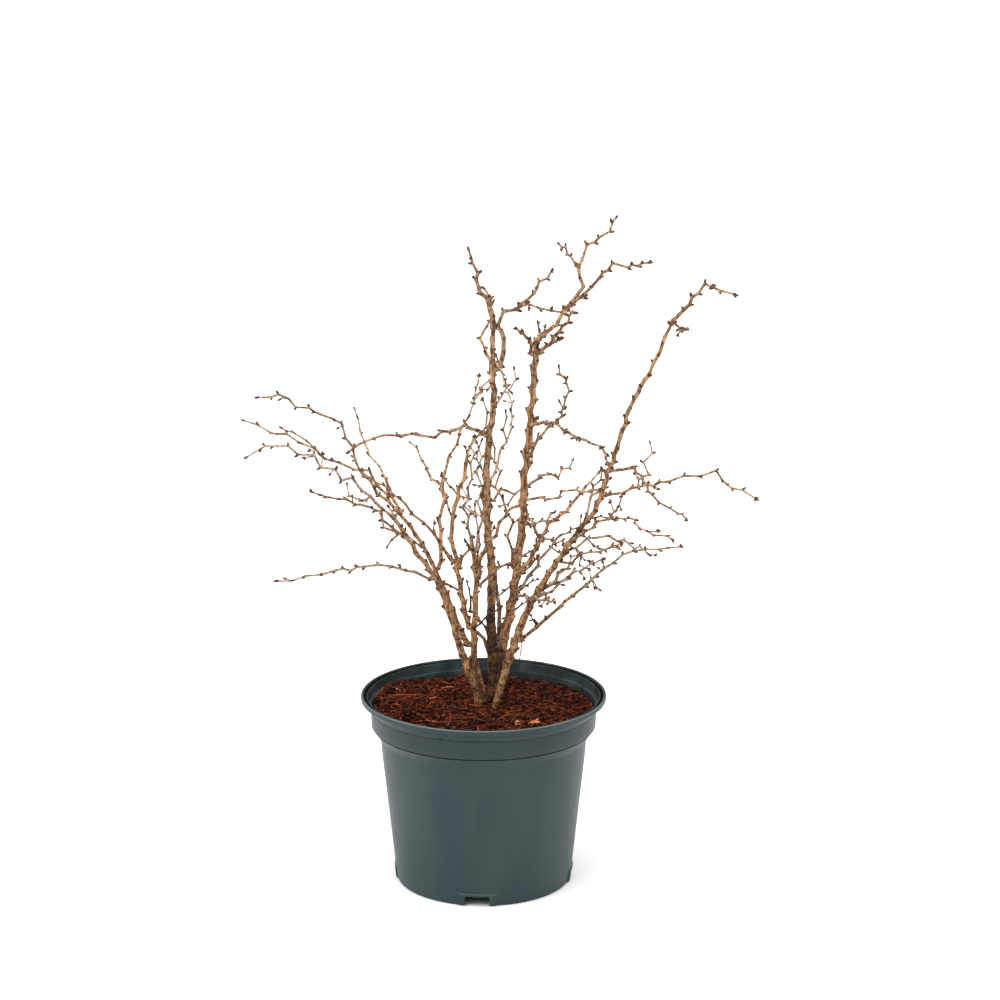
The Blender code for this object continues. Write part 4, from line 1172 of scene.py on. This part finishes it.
# %% Twigs
TWIG_GIRTH = 1.06
TOP_ABOVE = 340.0
TOP_GIRTH = (0.25, TOP_ABOVE - 30.0, TOP_ABOVE + 50.0)
STOUT_BASE = {"mass_top_left": 0.75, "mass_fork_right": 0.5, "mass_top_centre": 0.1,
              "mass_leaning_top": 0.2}
LONG_ARM = 5
chance = random.Random("twigs")
twig_piles = [Pile(), Pile(), Pile()]
for name in mass_names:
    limb = shrub.limbs[name]
    points, radii = seated(limb, limbs_so_far)
    limbs_so_far.append(limb)
    height = limb.points[0].z
    pile = twig_piles[1 if height < TOP_ABOVE and chance.random() < 0.5 else 0]
    more, low, high = TOP_GIRTH
    girth = TWIG_GIRTH * (1.0 + more * ramp(low, high, height))
    long_style = TOP_STYLE if height > TOP_ABOVE else TWIG_STYLE
    points, radii = bare_end(points, radii)
    stout, last = STOUT_BASE.get(name, 0.0), len(radii) - 1
    radii = [size * girth * (1.0 + stout * (1.0 - index / last)) for index, size in enumerate(radii)]
    dress(pile, points, radii, chance, **long_style)
    for points, radii in limb.arms:
        style = long_style if len(points) > LONG_ARM else SPUR_STYLE
        points, radii = bare_end(points, radii)
        dress(pile, points, [size * girth for size in radii], chance, **style)

# %% [markdown]
# ## The finest twigs
#
# Between the twigs that the solids stand for, a real shrub carries finer ones: links
# from stem to stem, short hooks with one bud, and dead threads left from other years.
# Each has the radius at its root and its knots, and each knot is a node. They stay
# inside the crown that the solids fill.

# %% Fine twigs, live and dead
LIVE_TWIGS = {
    "back left link": (1.1, "-32,53,298 -29,47,291 -27,41,285 -24,35,278"),
    "tall hook": (1.1, "-19,19,244 -16,17,253 -12,14,260 -11,13,264 -14,11,268"),
    "outer cross": (1.1, "-31,14,233 -26,18,231 -21,22,226"),
    "inner light": (0.9, "-5,3,229 -3,5,242 -2,7,253 0,9,261 4,10,269 8,12,278"),
    "inner second": (0.9, "-5,1,238 -5,5,253 -3,8,265 -4,11,276 -6,13,287"),
    "fan first": (0.9, "-60,-15,282 -67,-22,294 -71,-27,304"),
    "fan link": (0.9, "-48,20,260 -54,15,267 -60,12,273"),
    "fan stub": (0.8, "-42,17,251 -45,14,259 -46,11,266"),
    "centre spur": (0.8, "1,-2,314 -3,-4,315 -7,-6,316"),
    "centre hook": (0.9, "2,-2,320 -2,-5,329 -5,-8,337 -3,-10,344 -1,-12,352"),
    "top loop": (0.9, "10,-19,413 14,-23,405 17,-28,397 21,-31,392"),
    "top second loop": (0.9, "9,-12,378 13,-15,383 16,-17,388 17,-19,395 16,-21,400"),
    "top left spur": (0.8, "7,-15,396 4,-14,392 -1,-12,390 -7,-9,384"),
    "knot spur": (1.2, "41,10,422 43,9,427 42,8,432 41,7,438"),
    "knot second": (1.1, "43,10,424 46,12,428 47,14,434"),
    "base limb": (1.6, "-9,5,198 -4,8,195 0,11,190 2,13,183 4,17,174"),
    "base light": (0.9, "-7,5,213 -3,8,206 1,11,199 3,13,192"),
    "base cross": (0.9, "24,20,232 17,17,226 12,16,222 11,14,216"),
    "lean parallel": (1.2, "74,-13,281 79,-14,295 81,-15,309 88,-16,313 93,-17,316"),
    "lean bud spur": (0.8, "70,-12,273 73,-15,284 74,-18,294"),
    "lean upper spur": (0.9, "81,-14,306 84,-12,316 88,-10,321 90,-8,328"),
    "lean level": (0.8, "90,-17,314 82,-20,316 74,-23,313"),
    "right inner spur": (0.9, "30,16,241 36,14,246 40,12,252 42,11,256"),
    "right inner link": (0.8, "42,34,254 43,36,258 43,39,264"),
    "right long": (0.9, "59,-10,256 67,-14,257 74,-19,265 88,-26,269 97,-32,274 104,-36,278"),
    "right level": (0.8, "83,-15,292 89,-16,293 97,-19,294"),
    "right second": (0.7, "45,-8,235 55,-12,240 58,-16,252 63,-18,254 68,-20,259"),
    "right drop": (0.6, "70,-14,267 74,-16,262 73,-18,256 79,-21,254 82,-24,248 84,-27,241"),
    "right drop tip": (0.6, "82,-24,248 86,-28,241 88,-30,240"),
}
DEAD_TWIGS = {
    "inner dark": (0.8, "-10,5,213 -10,8,221 -11,10,229 -13,12,235"),
    "base dark cross": (0.8, "-9,5,197 -3,-2,205 4,-10,215 10,-17,220"),
    "base dark lean": (0.8, "22,21,212 17,24,202 13,27,190 13,29,182"),
    "base back low": (0.8, "12,17,157 15,19,164 19,21,170 22,23,177"),
    "right dark short": (0.7, "23,21,209 30,24,213 34,27,215"),
    "right dark upper": (0.7, "27,20,225 33,24,229 38,27,231 42,29,232"),
    "low clump": (0.7, "41,-16,208 38,-19,212 36,-20,217"),
    "low clump second": (0.7, "42,-17,209 39,-15,213 36,-13,211"),
    "right fork": (0.5, "67,-11,269 72,-16,267 76,-21,262 81,-26,260 87,-31,257"),
    "right thin": (0.5, "44,-8,233 55,-16,241 63,-22,247 77,-33,259 91,-44,268"),
}
THREADS = {
    "hanging thread": (0.4, "30,-9,195 29,-8,186 28,-7,178 28,-6,169"),
}
KINDS = ((LIVE_TWIGS, twig_piles[:2], FINE_STYLE), (DEAD_TWIGS, twig_piles[2:], DEAD_STYLE),
         (THREADS, twig_piles[2:], THREAD_STYLE))
for twigs, piles, style in KINDS:
    for name, (root, through) in twigs.items():
        knots = places(through)
        limb = Limb(name, knots, tapered(len(knots), root, root * 0.7))
        points, radii = seated(limb, limbs_so_far)
        dress(chance.choice(piles), points, radii, chance, **style)

for name, pile, bark in zip(("twigs_tan", "twigs_grey", "twigs_dead"), twig_piles,
                            (twig_tan, twig_grey, twig_dead)):
    hand_over(pile.piece(name, bark), "twigs", *(mass_names if name == "twigs_tan" else ()))

# %% Knots crowded with flower buds
KNOTS = ((26, 10, 427, 6), (41, 8, 431, 5), (44, 9, 419, 5), (58, 6, 428, 4), (60, 5, 421, 3),
         (50, 8, 424, 4), (190, -12, 461, 6))
chance = random.Random("knots")
for *knot, count in KNOTS:
    gap, core, size = parent_core(Vector(knot), limbs_so_far)
    for _ in range(count):
        out = [chance.uniform(low, 1) for low in (-1, -1, -0.3)]
        out = Vector(out).normalized()
        length = chance.uniform(2.6, 3.5)
        width = length * chance.uniform(0.62, 0.76)
        buds.add(core + out * size * 0.8, out, length, width, (0, 0, 1, 2))

# %% Buds
BUD_COLOURS = (
    ("buds_dark", (0.026, 0.010, 0.005), (0.092, 0.031, 0.013)),
    ("buds_red", (0.060, 0.019, 0.008), (0.160, 0.046, 0.018)),
    ("buds_chestnut", (0.110, 0.038, 0.014), (0.245, 0.098, 0.038)),
)
for (name, dark, light), pile in zip(BUD_COLOURS, buds.piles):
    scales = speckled(name, (0.5, 0.25), (1500.0, 2.0, (1.0, 1.0, 0.5)), (0.36, 0.64), dark, light,
                      (0.5, 0.0003))
    hand_over(pile.piece(name, scales), "twigs")
cushion_bark = bark_material(
    "bud_cushion_bark", (0.160, 0.070, 0.029), (0.055, 0.021, 0.009), (0.030, 0.012, 0.007))
hand_over(buds.cushions.piece("bud_cushions", cushion_bark), "twigs")
print(buds.count, "buds")

# %% [markdown]
# ## The pot
#
# A moulded nursery pot is one thin skin: a lip turned out over a collar, a tapering
# wall, and a foot with notches that let water out. A ring of edges is added at the lip
# and extruded from one height to the next, down the outside and up the inside, as a
# potter would raise a wall. Behind the lip's edge the skin dips into a narrow channel.

# %% Pot sizes in millimetres
_, pot_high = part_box("pot")
RIM, TOP = pot_high.x / MM, pot_high.z / MM
COLLAR_RADIUS = 87.4
BODY_TOP_RADIUS = 80.2
FOOT_RADIUS = 68.4
WALL = 1.6
LIP_ROUND = 0.9
POT_SIDES = 144
NOTCH_TURN = -94.0
NOTCH_DEPTH, NOTCH_WIDTH, NOTCH_HEIGHT = 9.0, 19.0, 8.0
WELD_FINE, WELD = 0.01 * MM, 0.02 * MM


def wall_radius(height):
    """The outside of the pot's tapering body at a height."""
    return FOOT_RADIUS + (BODY_TOP_RADIUS - FOOT_RADIUS) * (height - 3.0) / 110.0


# %% Pot skin
def stepped(radius, height, *steps):
    """Rings of the skin, by how far each lies out from a radius and up from a height."""
    return [(radius + out, height + up) for out, up in steps]


def walled(inset, *heights):
    """Rings that follow the tapering wall, a little way in from its outside."""
    return [(wall_radius(height) - inset, height) for height in heights]


LIP_TURNS = [math.radians(90.0 - 22.5 * step) for step in range(5)]
POT_RINGS = (
    [(RIM - LIP_ROUND + LIP_ROUND * math.cos(turn), TOP - LIP_ROUND + LIP_ROUND * math.sin(turn))
     for turn in LIP_TURNS]
    + stepped(RIM, TOP, (0, -3.2), (-0.3, -3.7), (-1.4, -4.0), (-2.6, -4.8), (-4.2, -6.3),
              (-5.7, -8.2))
    + stepped(COLLAR_RADIUS, 0, (0.9, 139.5), (0.7, 138.5), (0.1, 138.4), (0.1, 137.8), (0.3, 137.6),
              (0, 135.0), (-0.2, 130.0), (-0.4, 124.6), (-0.8, 124.0), (-2.8, 123.8), (-2.8, 122.9),
              (-2.0, 122.6))
    + stepped(BODY_TOP_RADIUS, 0, (2.6, 118.8), (0.8, 116.6), (0.1, 115.6), (-0.3, 113.0))
    + walled(0, 100.0, 80.0, 58.0, 36.0, 20.0, 9.6, 3.4, 2.6)
    + stepped(FOOT_RADIUS, 0, (-0.3, 1.2), (-0.9, 0.4), (-1.6, 0), (-3.2, 0), (-2.9, 0.6),
              (-2.7, 7.0))
    + stepped(0, 0, (49.6, 7.0), (48.2, 0.4), (47.6, 0), (12.0, 0), (11.4, 0.3), (0.6, 0.3),
              (0.6, 1.8), (46.0, 1.8), (48.2, 8.8))
    + walled(WALL, 8.8, 58.0, 110.0)
    + stepped(BODY_TOP_RADIUS, 0, (-0.8, 115.8), (1.2, 118.6))
    + stepped(COLLAR_RADIUS, 0, (-4.6, 123.4), (-1.8, 126.0), (-1.1, 135.0), (-0.9, 140.6),
              (-0.7, 141.0))
    + stepped(RIM, 0, (-6.1, 141.2), (-5.9, 141.6))
    + stepped(RIM, TOP, (-5.4, -2.0), (-5.2, -1.4), (-4.9, -1.2), (-4.6, -1.4), (-4.4, -2.0),
              (-4.1, -3.6), (-3.2, -3.7), (-2.6, -3.2), (-2.2, -1.2), (-2.0, -0.4), (-1.5, -0.05)))


def raised_skin(name, rings):
    """Extrude a circle of edges from ring to ring and back to the first, scaled and lifted."""
    radius, height = rings[0]
    piece = primitive("circle", vertices=POT_SIDES, radius=radius * MM,
                      location=(0, 0, height * MM))
    piece.name = name
    bpy.ops.object.mode_set(mode="EDIT")
    bpy.ops.mesh.select_mode(type="EDGE")
    bpy.ops.mesh.select_all(action="SELECT")
    for (old_radius, old_height), (new_radius, new_height) in zip(rings, rings[1:] + rings[:1]):
        bpy.ops.mesh.extrude_edges_move()
        bpy.ops.transform.translate(value=(0, 0, (new_height - old_height) * MM))
        scale = new_radius / old_radius
        bpy.ops.transform.resize(value=(scale, scale, 1.0))
    weld(piece, WELD)
    return piece


pot = raised_skin("nursery_pot", POT_RINGS)
print("pot skin", len(pot.data.polygons), "faces")

# %% [markdown]
# ## The foot
#
# Four notches in the foot let water run out, each under a small arched surround that
# stands a millimetre proud of the wall. A ring of the surround's thickness is cut
# into four by boxes and joined on, then the notches and the drain holes are cut.

# %% Foot surrounds, notches and drain holes
SHARP_ANGLE = 0.7


def modified(piece, kind, **settings):
    """Add a modifier to the piece and apply it."""
    modifier = piece.modifiers.new(kind, kind)
    for key, value in settings.items():
        setattr(modifier, key, value)
    select_only(piece)
    bpy.ops.object.modifier_apply(modifier=modifier.name)


def rounded(piece, width, segments):
    """Round the sharp edges by a width in millimetres."""
    modified(piece, "BEVEL", width=width * MM, segments=segments, limit_method="ANGLE",
             angle_limit=SHARP_ANGLE)


def joined(pieces):
    """Several pieces as one, under the first one's name."""
    select_only(*pieces)
    bpy.ops.object.join()
    return pieces[0]


def cut_or_join(piece, other, operation):
    modified(piece, "BOOLEAN", operation=operation, object=other, solver="MANIFOLD")
    bpy.data.objects.remove(other, do_unlink=True)


def box_at(size, place, turn):
    """A box by its size and middle in millimetres, on an axis turned about the pot."""
    middle = Matrix.Rotation(turn, 3, "Z") @ Vector(place)
    return primitive("cube", size=MM, location=middle * MM, rotation=(0, 0, turn), scale=size)


SURROUND_RINGS = walled(-1.0, 0.8, 9.4) + walled(-0.2, 10.6) + walled(0.8, 10.6, 0.8)
SURROUND_BOX, SURROUND_PLACE = (24.0, 30.0, 24.0), (70.0, 0.0, 5.0)
BELOW_FOOT = 2.0
HOLE_SHAPE = dict(vertices=32, radius=0.0045, depth=0.006)
HOLES, HOLE_OUT, HOLE_HEIGHT = 8, 0.057, 0.008
turns = [math.radians(NOTCH_TURN + 90.0 * number) for number in range(4)]
surround = raised_skin("surround", SURROUND_RINGS)
sectors = joined([box_at(SURROUND_BOX, SURROUND_PLACE, turn) for turn in turns])
cut_or_join(surround, sectors, "INTERSECT")
rounded(surround, 0.4, 2)
cut_or_join(pot, surround, "UNION")
notch_box = (NOTCH_DEPTH, NOTCH_WIDTH, NOTCH_HEIGHT + 2 * BELOW_FOOT)
notch_place = (FOOT_RADIUS, 0.0, NOTCH_HEIGHT / 2 - BELOW_FOOT)
notches = joined([box_at(notch_box, notch_place, turn) for turn in turns])
rounded(notches, 1.4, 3)
cut_or_join(pot, notches, "DIFFERENCE")
holes = []
for number in range(HOLES):
    turn = math.radians(NOTCH_TURN + 45.0 * (number + 0.5))
    place = (HOLE_OUT * math.cos(turn), HOLE_OUT * math.sin(turn), HOLE_HEIGHT)
    holes.append(primitive("cylinder", location=place, **HOLE_SHAPE))
cut_or_join(pot, joined(holes), "DIFFERENCE")
print("pot with its foot", len(pot.data.polygons), "faces")

# %% [markdown]
# ## The label place and the panel under the lip
#
# A thin raised panel runs under the lip at the front, with a small tab at its left
# end. The place where a grower's label goes is left bare.

# %% Panel and tab
PLATE_SUNK = 0.3
SMOOTH_ANGLE = math.radians(32.0)


def bent_plate(name, angle, width, bottom, top, thickness):
    """A plate bent round the collar: a grid wrapped to the radius and thickened."""
    piece = primitive("grid", x_subdivisions=24, y_subdivisions=2, size=1.0)
    piece.name = name
    for vertex in piece.data.vertices:
        turn = math.radians(angle) + vertex.co.x * width / COLLAR_RADIUS
        height = bottom + (top - bottom) * (vertex.co.y + 0.5)
        share = min(1.0, max(0.0, (height - 135.0) / 4.5))
        radius = COLLAR_RADIUS + 0.9 * share - PLATE_SUNK
        vertex.co = Vector((radius * math.cos(turn), radius * math.sin(turn), height)) * MM
    modified(piece, "SOLIDIFY", thickness=(thickness + PLATE_SUNK) * MM, offset=1.0)
    rounded(piece, 0.2, 2)
    return piece


panel = bent_plate("panel", -96.2, 45.0, 134.6, 138.6, 0.35)
tab = bent_plate("tab", -111.4, 1.8, 135.6, 138.9, 0.8)
pot = joined([pot, panel, tab])
pot.name = "nursery_pot"
select_only(pot)
bpy.ops.object.shade_smooth_by_angle(angle=SMOOTH_ANGLE)

# %% [markdown]
# ## Moulded plastic
#
# Recycled slate-green plastic is matt with a soft sheen. It shows faint vertical
# streaks from the mould, finer speckles, and paler scuffs. The collar under the lip
# and the lip's outer face are darkened with painted shade, and the lip's top edge is
# lightened with a painted highlight. The inside is darkened with painted shade, and the
# channel behind the lip is painted near black as painted shade.

# %% Plastic
plastic, shader, place = new_material("slate_plastic", 0.5, 0.3)
flow = place.noise(28.0, 3.0, (1.0, 1.0, 0.3))
fine = place.noise(900.0, 2.0)
scuffs = place.noise(160.0, 4.0, (1.0, 1.0, 0.22), 0.65)
colour = flow.between(0.3, 0.7).blend((0.0140, 0.0295, 0.0335), (0.0205, 0.0395, 0.0420))
colour = (scuffs.between(0.62, 0.8) * 0.3).blend(colour, (0.055, 0.080, 0.084))
height, edge = place.height(), TOP * MM
above_collar = height.between(0.1378, 0.1388)
# Painted shade: the collar under the lip is darkened by height.
collar_shade_mask = height.between(0.1225, 0.1235) - above_collar
colour = (collar_shade_mask * 0.75).blend(colour, (0.012, 0.025, 0.028))
# Painted shade: the lip's outer face is darkened by height.
lip_shade_mask = above_collar - height.between(edge - 0.0012, edge - 0.0005)
colour = (lip_shade_mask * 0.6).blend(colour, (0.013, 0.027, 0.030))
# Painted highlight: the lip's top edge is lightened, patchy by the flow noise.
lip_edge_highlight = height.between(edge - 0.0010, edge - 0.0003) * (flow * 0.5 + 0.45)
feed(shader, "Base Color", lip_edge_highlight.blend(colour, (0.090, 0.110, 0.110)))
feed(shader, "Roughness", fine * 0.16 + scuffs * 0.12 + 0.32)
bump(shader, fine * 0.5 + flow * 0.5, 0.25, 0.0003)
# Painted shade: the pot's inward faces get this darker material.
inside = speckled("slate_plastic_inside_painted_shade", (0.55, 0.2), (60.0, 3.0, (1.0, 1.0, 0.5)), (0.35, 0.65),
                  (0.011, 0.017, 0.018), (0.034, 0.048, 0.049))
# Painted shade: the channel behind the lip gets a near-black material.
channel = speckled("channel_painted_shade", (0.9, 0.05), (300.0, 2.0), (0.4, 0.6),
                   (0.003, 0.004, 0.004), (0.008, 0.011, 0.011))

pot.data.materials.clear()
for material in (plastic, inside, channel):
    pot.data.materials.append(material)
CHANNEL_FROM, CHANNEL_TO = RIM - 4.6, RIM - 2.2
CHANNEL_TOP, CHANNEL_DEPTH = TOP - 1.4, 3.0
FLOOR_HEIGHT = 10.0
# Channel faces take the near-black painted-shade material, the other inward faces above the floor
# the darker painted-shade inside material.
for face in pot.data.polygons:
    middle = face.center / MM
    out = math.hypot(middle.x, middle.y)
    outward = middle.x * face.normal.x + middle.y * face.normal.y
    below = CHANNEL_TOP - middle.z
    in_channel = CHANNEL_FROM < out < CHANNEL_TO and 0.0 < below < CHANNEL_DEPTH
    if in_channel and face.normal.z > -0.3:
        face.material_index = 2
    elif outward < 0.0 and middle.z > FLOOR_HEIGHT:
        face.material_index = 1
hand_over(pot, "pot", "pot")

# %% [markdown]
# ## Compost and bark mulch
#
# The compost shows only through the drain holes, so its solid is kept and gets a
# peaty material. The mulch is shredded bark: a rough bed, its near-black colour partly
# dark bark and partly painted shade for the gaps, with thousands of flattish splinters
# lying over it in a few shades of red-brown.

# %% Compost
peat = speckled("peat", (0.95, 0.1), (420.0, 5.0), (0.35, 0.7), (0.010, 0.006, 0.004),
                (0.052, 0.030, 0.019), (0.9, 0.002))
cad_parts["compost"].data.materials.clear()
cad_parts["compost"].data.materials.append(peat)

# %% Mulch bed
MULCH_EDGE = 86.0
BED_RINGS, BED_SIDES, BED_FOOT = 60, 180, 130.4


def mulch_top(x, y):
    """The heap's height, with the fine roughness of shredded bark over it."""
    sin = math.sin
    hollow = 0.5 - 0.5 * sin(3.0 * math.atan2(y, x) + 0.6)
    base = MULCH_TOP - 2.6 * max(0.0, (math.hypot(x, y - 5.0) - 30.0) / 55.0)
    base -= 2.4 * max(0.0, (math.hypot(x, y) - 70.0) / 15.0) ** 2 * hollow
    base += 7.0 * ramp(-38.0, -78.0, x) * ramp(-50.0, 0.0, y)
    rough = sin(x * 0.55 + 1.7 * sin(y * 0.41)) * sin(y * 0.62 + 1.3 * sin(x * 0.37))
    fine = sin(x * 1.9 + 2.0 * sin(y * 1.3)) * sin(y * 1.7 + x * 0.4)
    return base - 1.2 + 1.3 * rough + 1.0 * fine


def mulch_material(name, light, dark):
    material, shader, place = new_material(name, 0.9, 0.05)
    fibres = place.noise(1100.0, 3.0, (1.0, 1.0, 0.4))
    patches = place.noise(130.0, 2.0)
    shade = (fibres * 0.7 + patches * 0.3).between(0.36, 0.64)
    feed(shader, "Base Color", shade.blend(dark, light))
    bump(shader, fibres, 0.7, 0.0006)
    return material


bed_points = []
for ring in range(BED_RINGS + 1):
    radius = MULCH_EDGE * ring / BED_RINGS
    for side in range(BED_SIDES):
        turn = math.tau * side / BED_SIDES
        x, y = radius * math.cos(turn), radius * math.sin(turn)
        bed_points.append((x, y, mulch_top(x, y)))
bed_points += [(x, y, BED_FOOT) for x, y, _ in bed_points[-BED_SIDES:]] + [(0.0, 0.0, BED_FOOT)]
bed_quads = np.roll(strips(BED_RINGS + 2, BED_SIDES)[:, ::-1], 1, axis=1)
low, middle = (BED_RINGS + 1) * BED_SIDES, len(bed_points) - 1
bed_triangles = [(low + (side + 1) % BED_SIDES, low + side, middle) for side in range(BED_SIDES)]
# The bed's near-black colour is partly dark bark and partly painted shade for the gaps between
# splinters.
bed_bark_and_gap_shade = mulch_material("mulch_bed", (0.026, 0.008, 0.005), (0.006, 0.003, 0.002))
bed = piece_from_arrays("mulch_bed", np.array(bed_points), bed_quads, bed_triangles, bed_bark_and_gap_shade)
weld(bed, WELD_FINE)
hand_over(bed, "mulch", "bark_mulch")

# %% Splinters of bark
SPLINTER_RINGS = 5
SPLINTER_ENDS = [(0, 1, 2, 3), (19, 18, 17, 16)]
SPLINTER_FACES = np.concatenate([strips(SPLINTER_RINGS, 4)[:, ::-1], SPLINTER_ENDS])
LONG_SHARE, LONGER = 0.08, 1.7
EDGE_BAND, EDGE_LENGTH = 8.0, 11.0
LAID_LIFT, LAID_THICKNESS, LAID_BEND = 2.6, 0.7, 0.5


def splinter(pile, middle, turn, tilt, length, width, thickness, bend, chance):
    """A ragged strip of bark, thinner to its ends, bowed a little."""
    points = []
    for ring in range(SPLINTER_RINGS):
        share = ring / (SPLINTER_RINGS - 1) * 2.0 - 1.0
        narrow = (1.0 - 0.75 * abs(share) ** 2.2) * chance.uniform(0.8, 1.2)
        side = chance.uniform(-0.12, 0.12) * width
        rise = bend * (1.0 - share * share)
        for across, up in ((-1, -1), (1, -1), (1, 1), (-1, 1)):
            points.append((share * length / 2, across * narrow * width / 2 + side,
                           up * thickness / 2 * narrow + rise))
    turning = (Matrix.Rotation(turn, 3, "Z") @ Matrix.Rotation(tilt, 3, "Y")
               @ Matrix.Rotation(chance.uniform(-0.7, 0.7), 3, "X"))
    pile.shape(np.array(points) @ np.array(turning).T + np.array(middle), SPLINTER_FACES)


# Each kind has its name, its light and dark colour, a count, and ranges of length and width.
MULCH_KINDS = (
    ("mulch_dark", (0.022, 0.007, 0.004), (0.004, 0.002, 0.002), 3300, (4.0, 11.5), (0.7, 2.5)),
    ("mulch_red", (0.086, 0.017, 0.007), (0.028, 0.006, 0.003), 3300, (3.5, 12.0), (0.5, 2.1)),
    ("mulch_orange", (0.230, 0.054, 0.015), (0.090, 0.019, 0.006), 1500, (6.0, 19.0), (0.35, 1.0)),
    ("mulch_grey", (0.130, 0.062, 0.050), (0.045, 0.019, 0.014), 330, (3.0, 10.0), (0.5, 1.5)),
    ("mulch_pale", (0.440, 0.175, 0.088), (0.250, 0.085, 0.040), 14, (2.5, 7.0), (0.6, 1.6)),
)
# Splinters laid one by one: the place, the heading, the tilt, the length and the width.
LAID = {
    "mulch_pale": (
        (26, -46, 1.5, -0.7, 5.6, 4.8), (38.5, -45, 0.25, -0.1, 9.0, 3.4),
        (41, -35, 0.9, -0.2, 3.6, 1.2), (-68, 25, 0.6, 0, 2.6, 2.0), (-41, -40, -0.2, 0, 16.0, 1.2),
        (-28, 41, 0.2, 0, 9.0, 1.0)),
    "mulch_orange": (
        (-7, -3, -0.1, 0, 24.0, 2.0), (10, -5, -0.2, 0, 14.0, 1.6), (-20, -38, 0.05, 0, 20.0, 1.2),
        (-62, 6, 0.1, 0, 22.0, 1.3), (-34, 44, -0.9, 0, 15.0, 1.0), (48, -13, 0.3, 0, 13.0, 1.3),
        (18, -28, 0.8, 0, 10.0, 1.5), (-52, -22, -0.1, 0, 15.0, 1.2)),
}
chance = random.Random("mulch")
feet = [(shrub.limbs[row[0]].points[0], shrub.limbs[row[0]].radii[0]) for row in ROOTED]
for name, light, dark, count, lengths, girths in MULCH_KINDS:
    pile = Pile()
    for _ in range(count):
        radius = MULCH_EDGE * math.sqrt(chance.random()) * 0.985
        turn = chance.uniform(0, math.tau)
        x, y = radius * math.cos(turn), radius * math.sin(turn)
        length = chance.uniform(*lengths) * (LONGER if chance.random() < LONG_SHARE else 1.0)
        length = min(length, 2.0 * math.sqrt(max(1.0, (MULCH_EDGE + 0.6) ** 2 - radius ** 2)))
        width = chance.uniform(*girths)
        heading = chance.uniform(0, math.pi)
        if radius > MULCH_EDGE - EDGE_BAND:
            length = min(length, EDGE_LENGTH)
            heading = turn + math.pi / 2 + chance.uniform(-0.35, 0.35)
        patch = math.sin(x * 0.11 + 1.3) * math.sin(y * 0.16 + x * 0.05)
        if name == "mulch_orange" and patch + 0.25 < chance.uniform(-0.9, 0.5):
            continue
        lift = chance.uniform(-0.4, 2.1)
        if min(math.hypot(x - foot.x, y - foot.y) - size for foot, size in feet) < length / 2 - 1.0:
            lift = chance.uniform(-0.6, 0.6)
        splinter(pile, (x, y, mulch_top(x, y) + lift), heading, chance.uniform(-0.34, 0.34), length,
                 width, chance.uniform(0.3, 0.8), chance.uniform(-0.6, 1.1), chance)
    for x, y, heading, tilt, length, width in LAID.get(name, ()):
        splinter(pile, (x, y, mulch_top(x, y) + LAID_LIFT), heading, tilt, length, width,
                 LAID_THICKNESS, LAID_BEND, chance)
    hand_over(pile.piece(name, mulch_material(name, light, dark), False), "mulch")

# %% [markdown]
# ## Floor and light
#
# The plant is shown on a pale floor that the light turns white. The sky is a gradient,
# bright overhead and dim lower down, so that uprights are darker than tops, with a thin
# white strip at the horizon that hides where the floor ends. Two broad lamps, the
# stronger on the left, light the pot's two edges and the stems' sides.

# %% Floor
FLOOR_SIZE, FLOOR_PLACE, FLOOR_GREY = 80.0, (0.0, 20.0, 0.0), (0.70, 0.70, 0.70, 1.0)
floor = primitive("plane", size=FLOOR_SIZE, location=FLOOR_PLACE)
floor.name = "floor"
paper, shader, place = new_material("pale_floor", 0.95, 0.1)
shader.inputs["Base Color"].default_value = FLOOR_GREY
floor.data.materials.append(paper)
floor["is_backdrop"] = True

# %% Lamps and sky
LAMPS = (("left_lamp", 1.95, 60.0, (-0.72, -0.42, 0.95)),
         ("right_lamp", 0.95, 70.0, (0.80, -0.25, 0.95)))
HORIZON, OVERHEAD = 0.10, 2.6

for name, strength, spread, toward in LAMPS:
    light = bpy.data.lights.new(name, "SUN")
    light.energy = strength
    light.angle = math.radians(spread)
    lamp = bpy.data.objects.new(name, light)
    lamp.rotation_euler = Vector(toward).to_track_quat("Z", "Y").to_euler()
    bpy.context.scene.collection.objects.link(lamp)

sky = bpy.data.worlds.new("sky")
sky.use_nodes = True
tree = sky.node_tree
height = Sock(tree, tree.nodes.new("ShaderNodeTexCoord").outputs["Generated"]).height()
brightness = height.between(0.15, 0.95) * (OVERHEAD - HORIZON) + HORIZON
brightness = brightness + (height.between(0.05, 0.08) * -1.0 + 1.0)
tree.links.new(brightness.link, tree.nodes["Background"].inputs["Strength"])
tree.nodes["Background"].inputs["Color"].default_value = (1.0, 1.0, 1.0, 1.0)
bpy.context.scene.world = sky
bpy.context.scene.view_settings.view_transform = "Standard"

# %% Sizes
low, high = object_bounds()
print("visual model reaches from", [round(v, 3) for v in low], "to", [round(v, 3) for v in high])
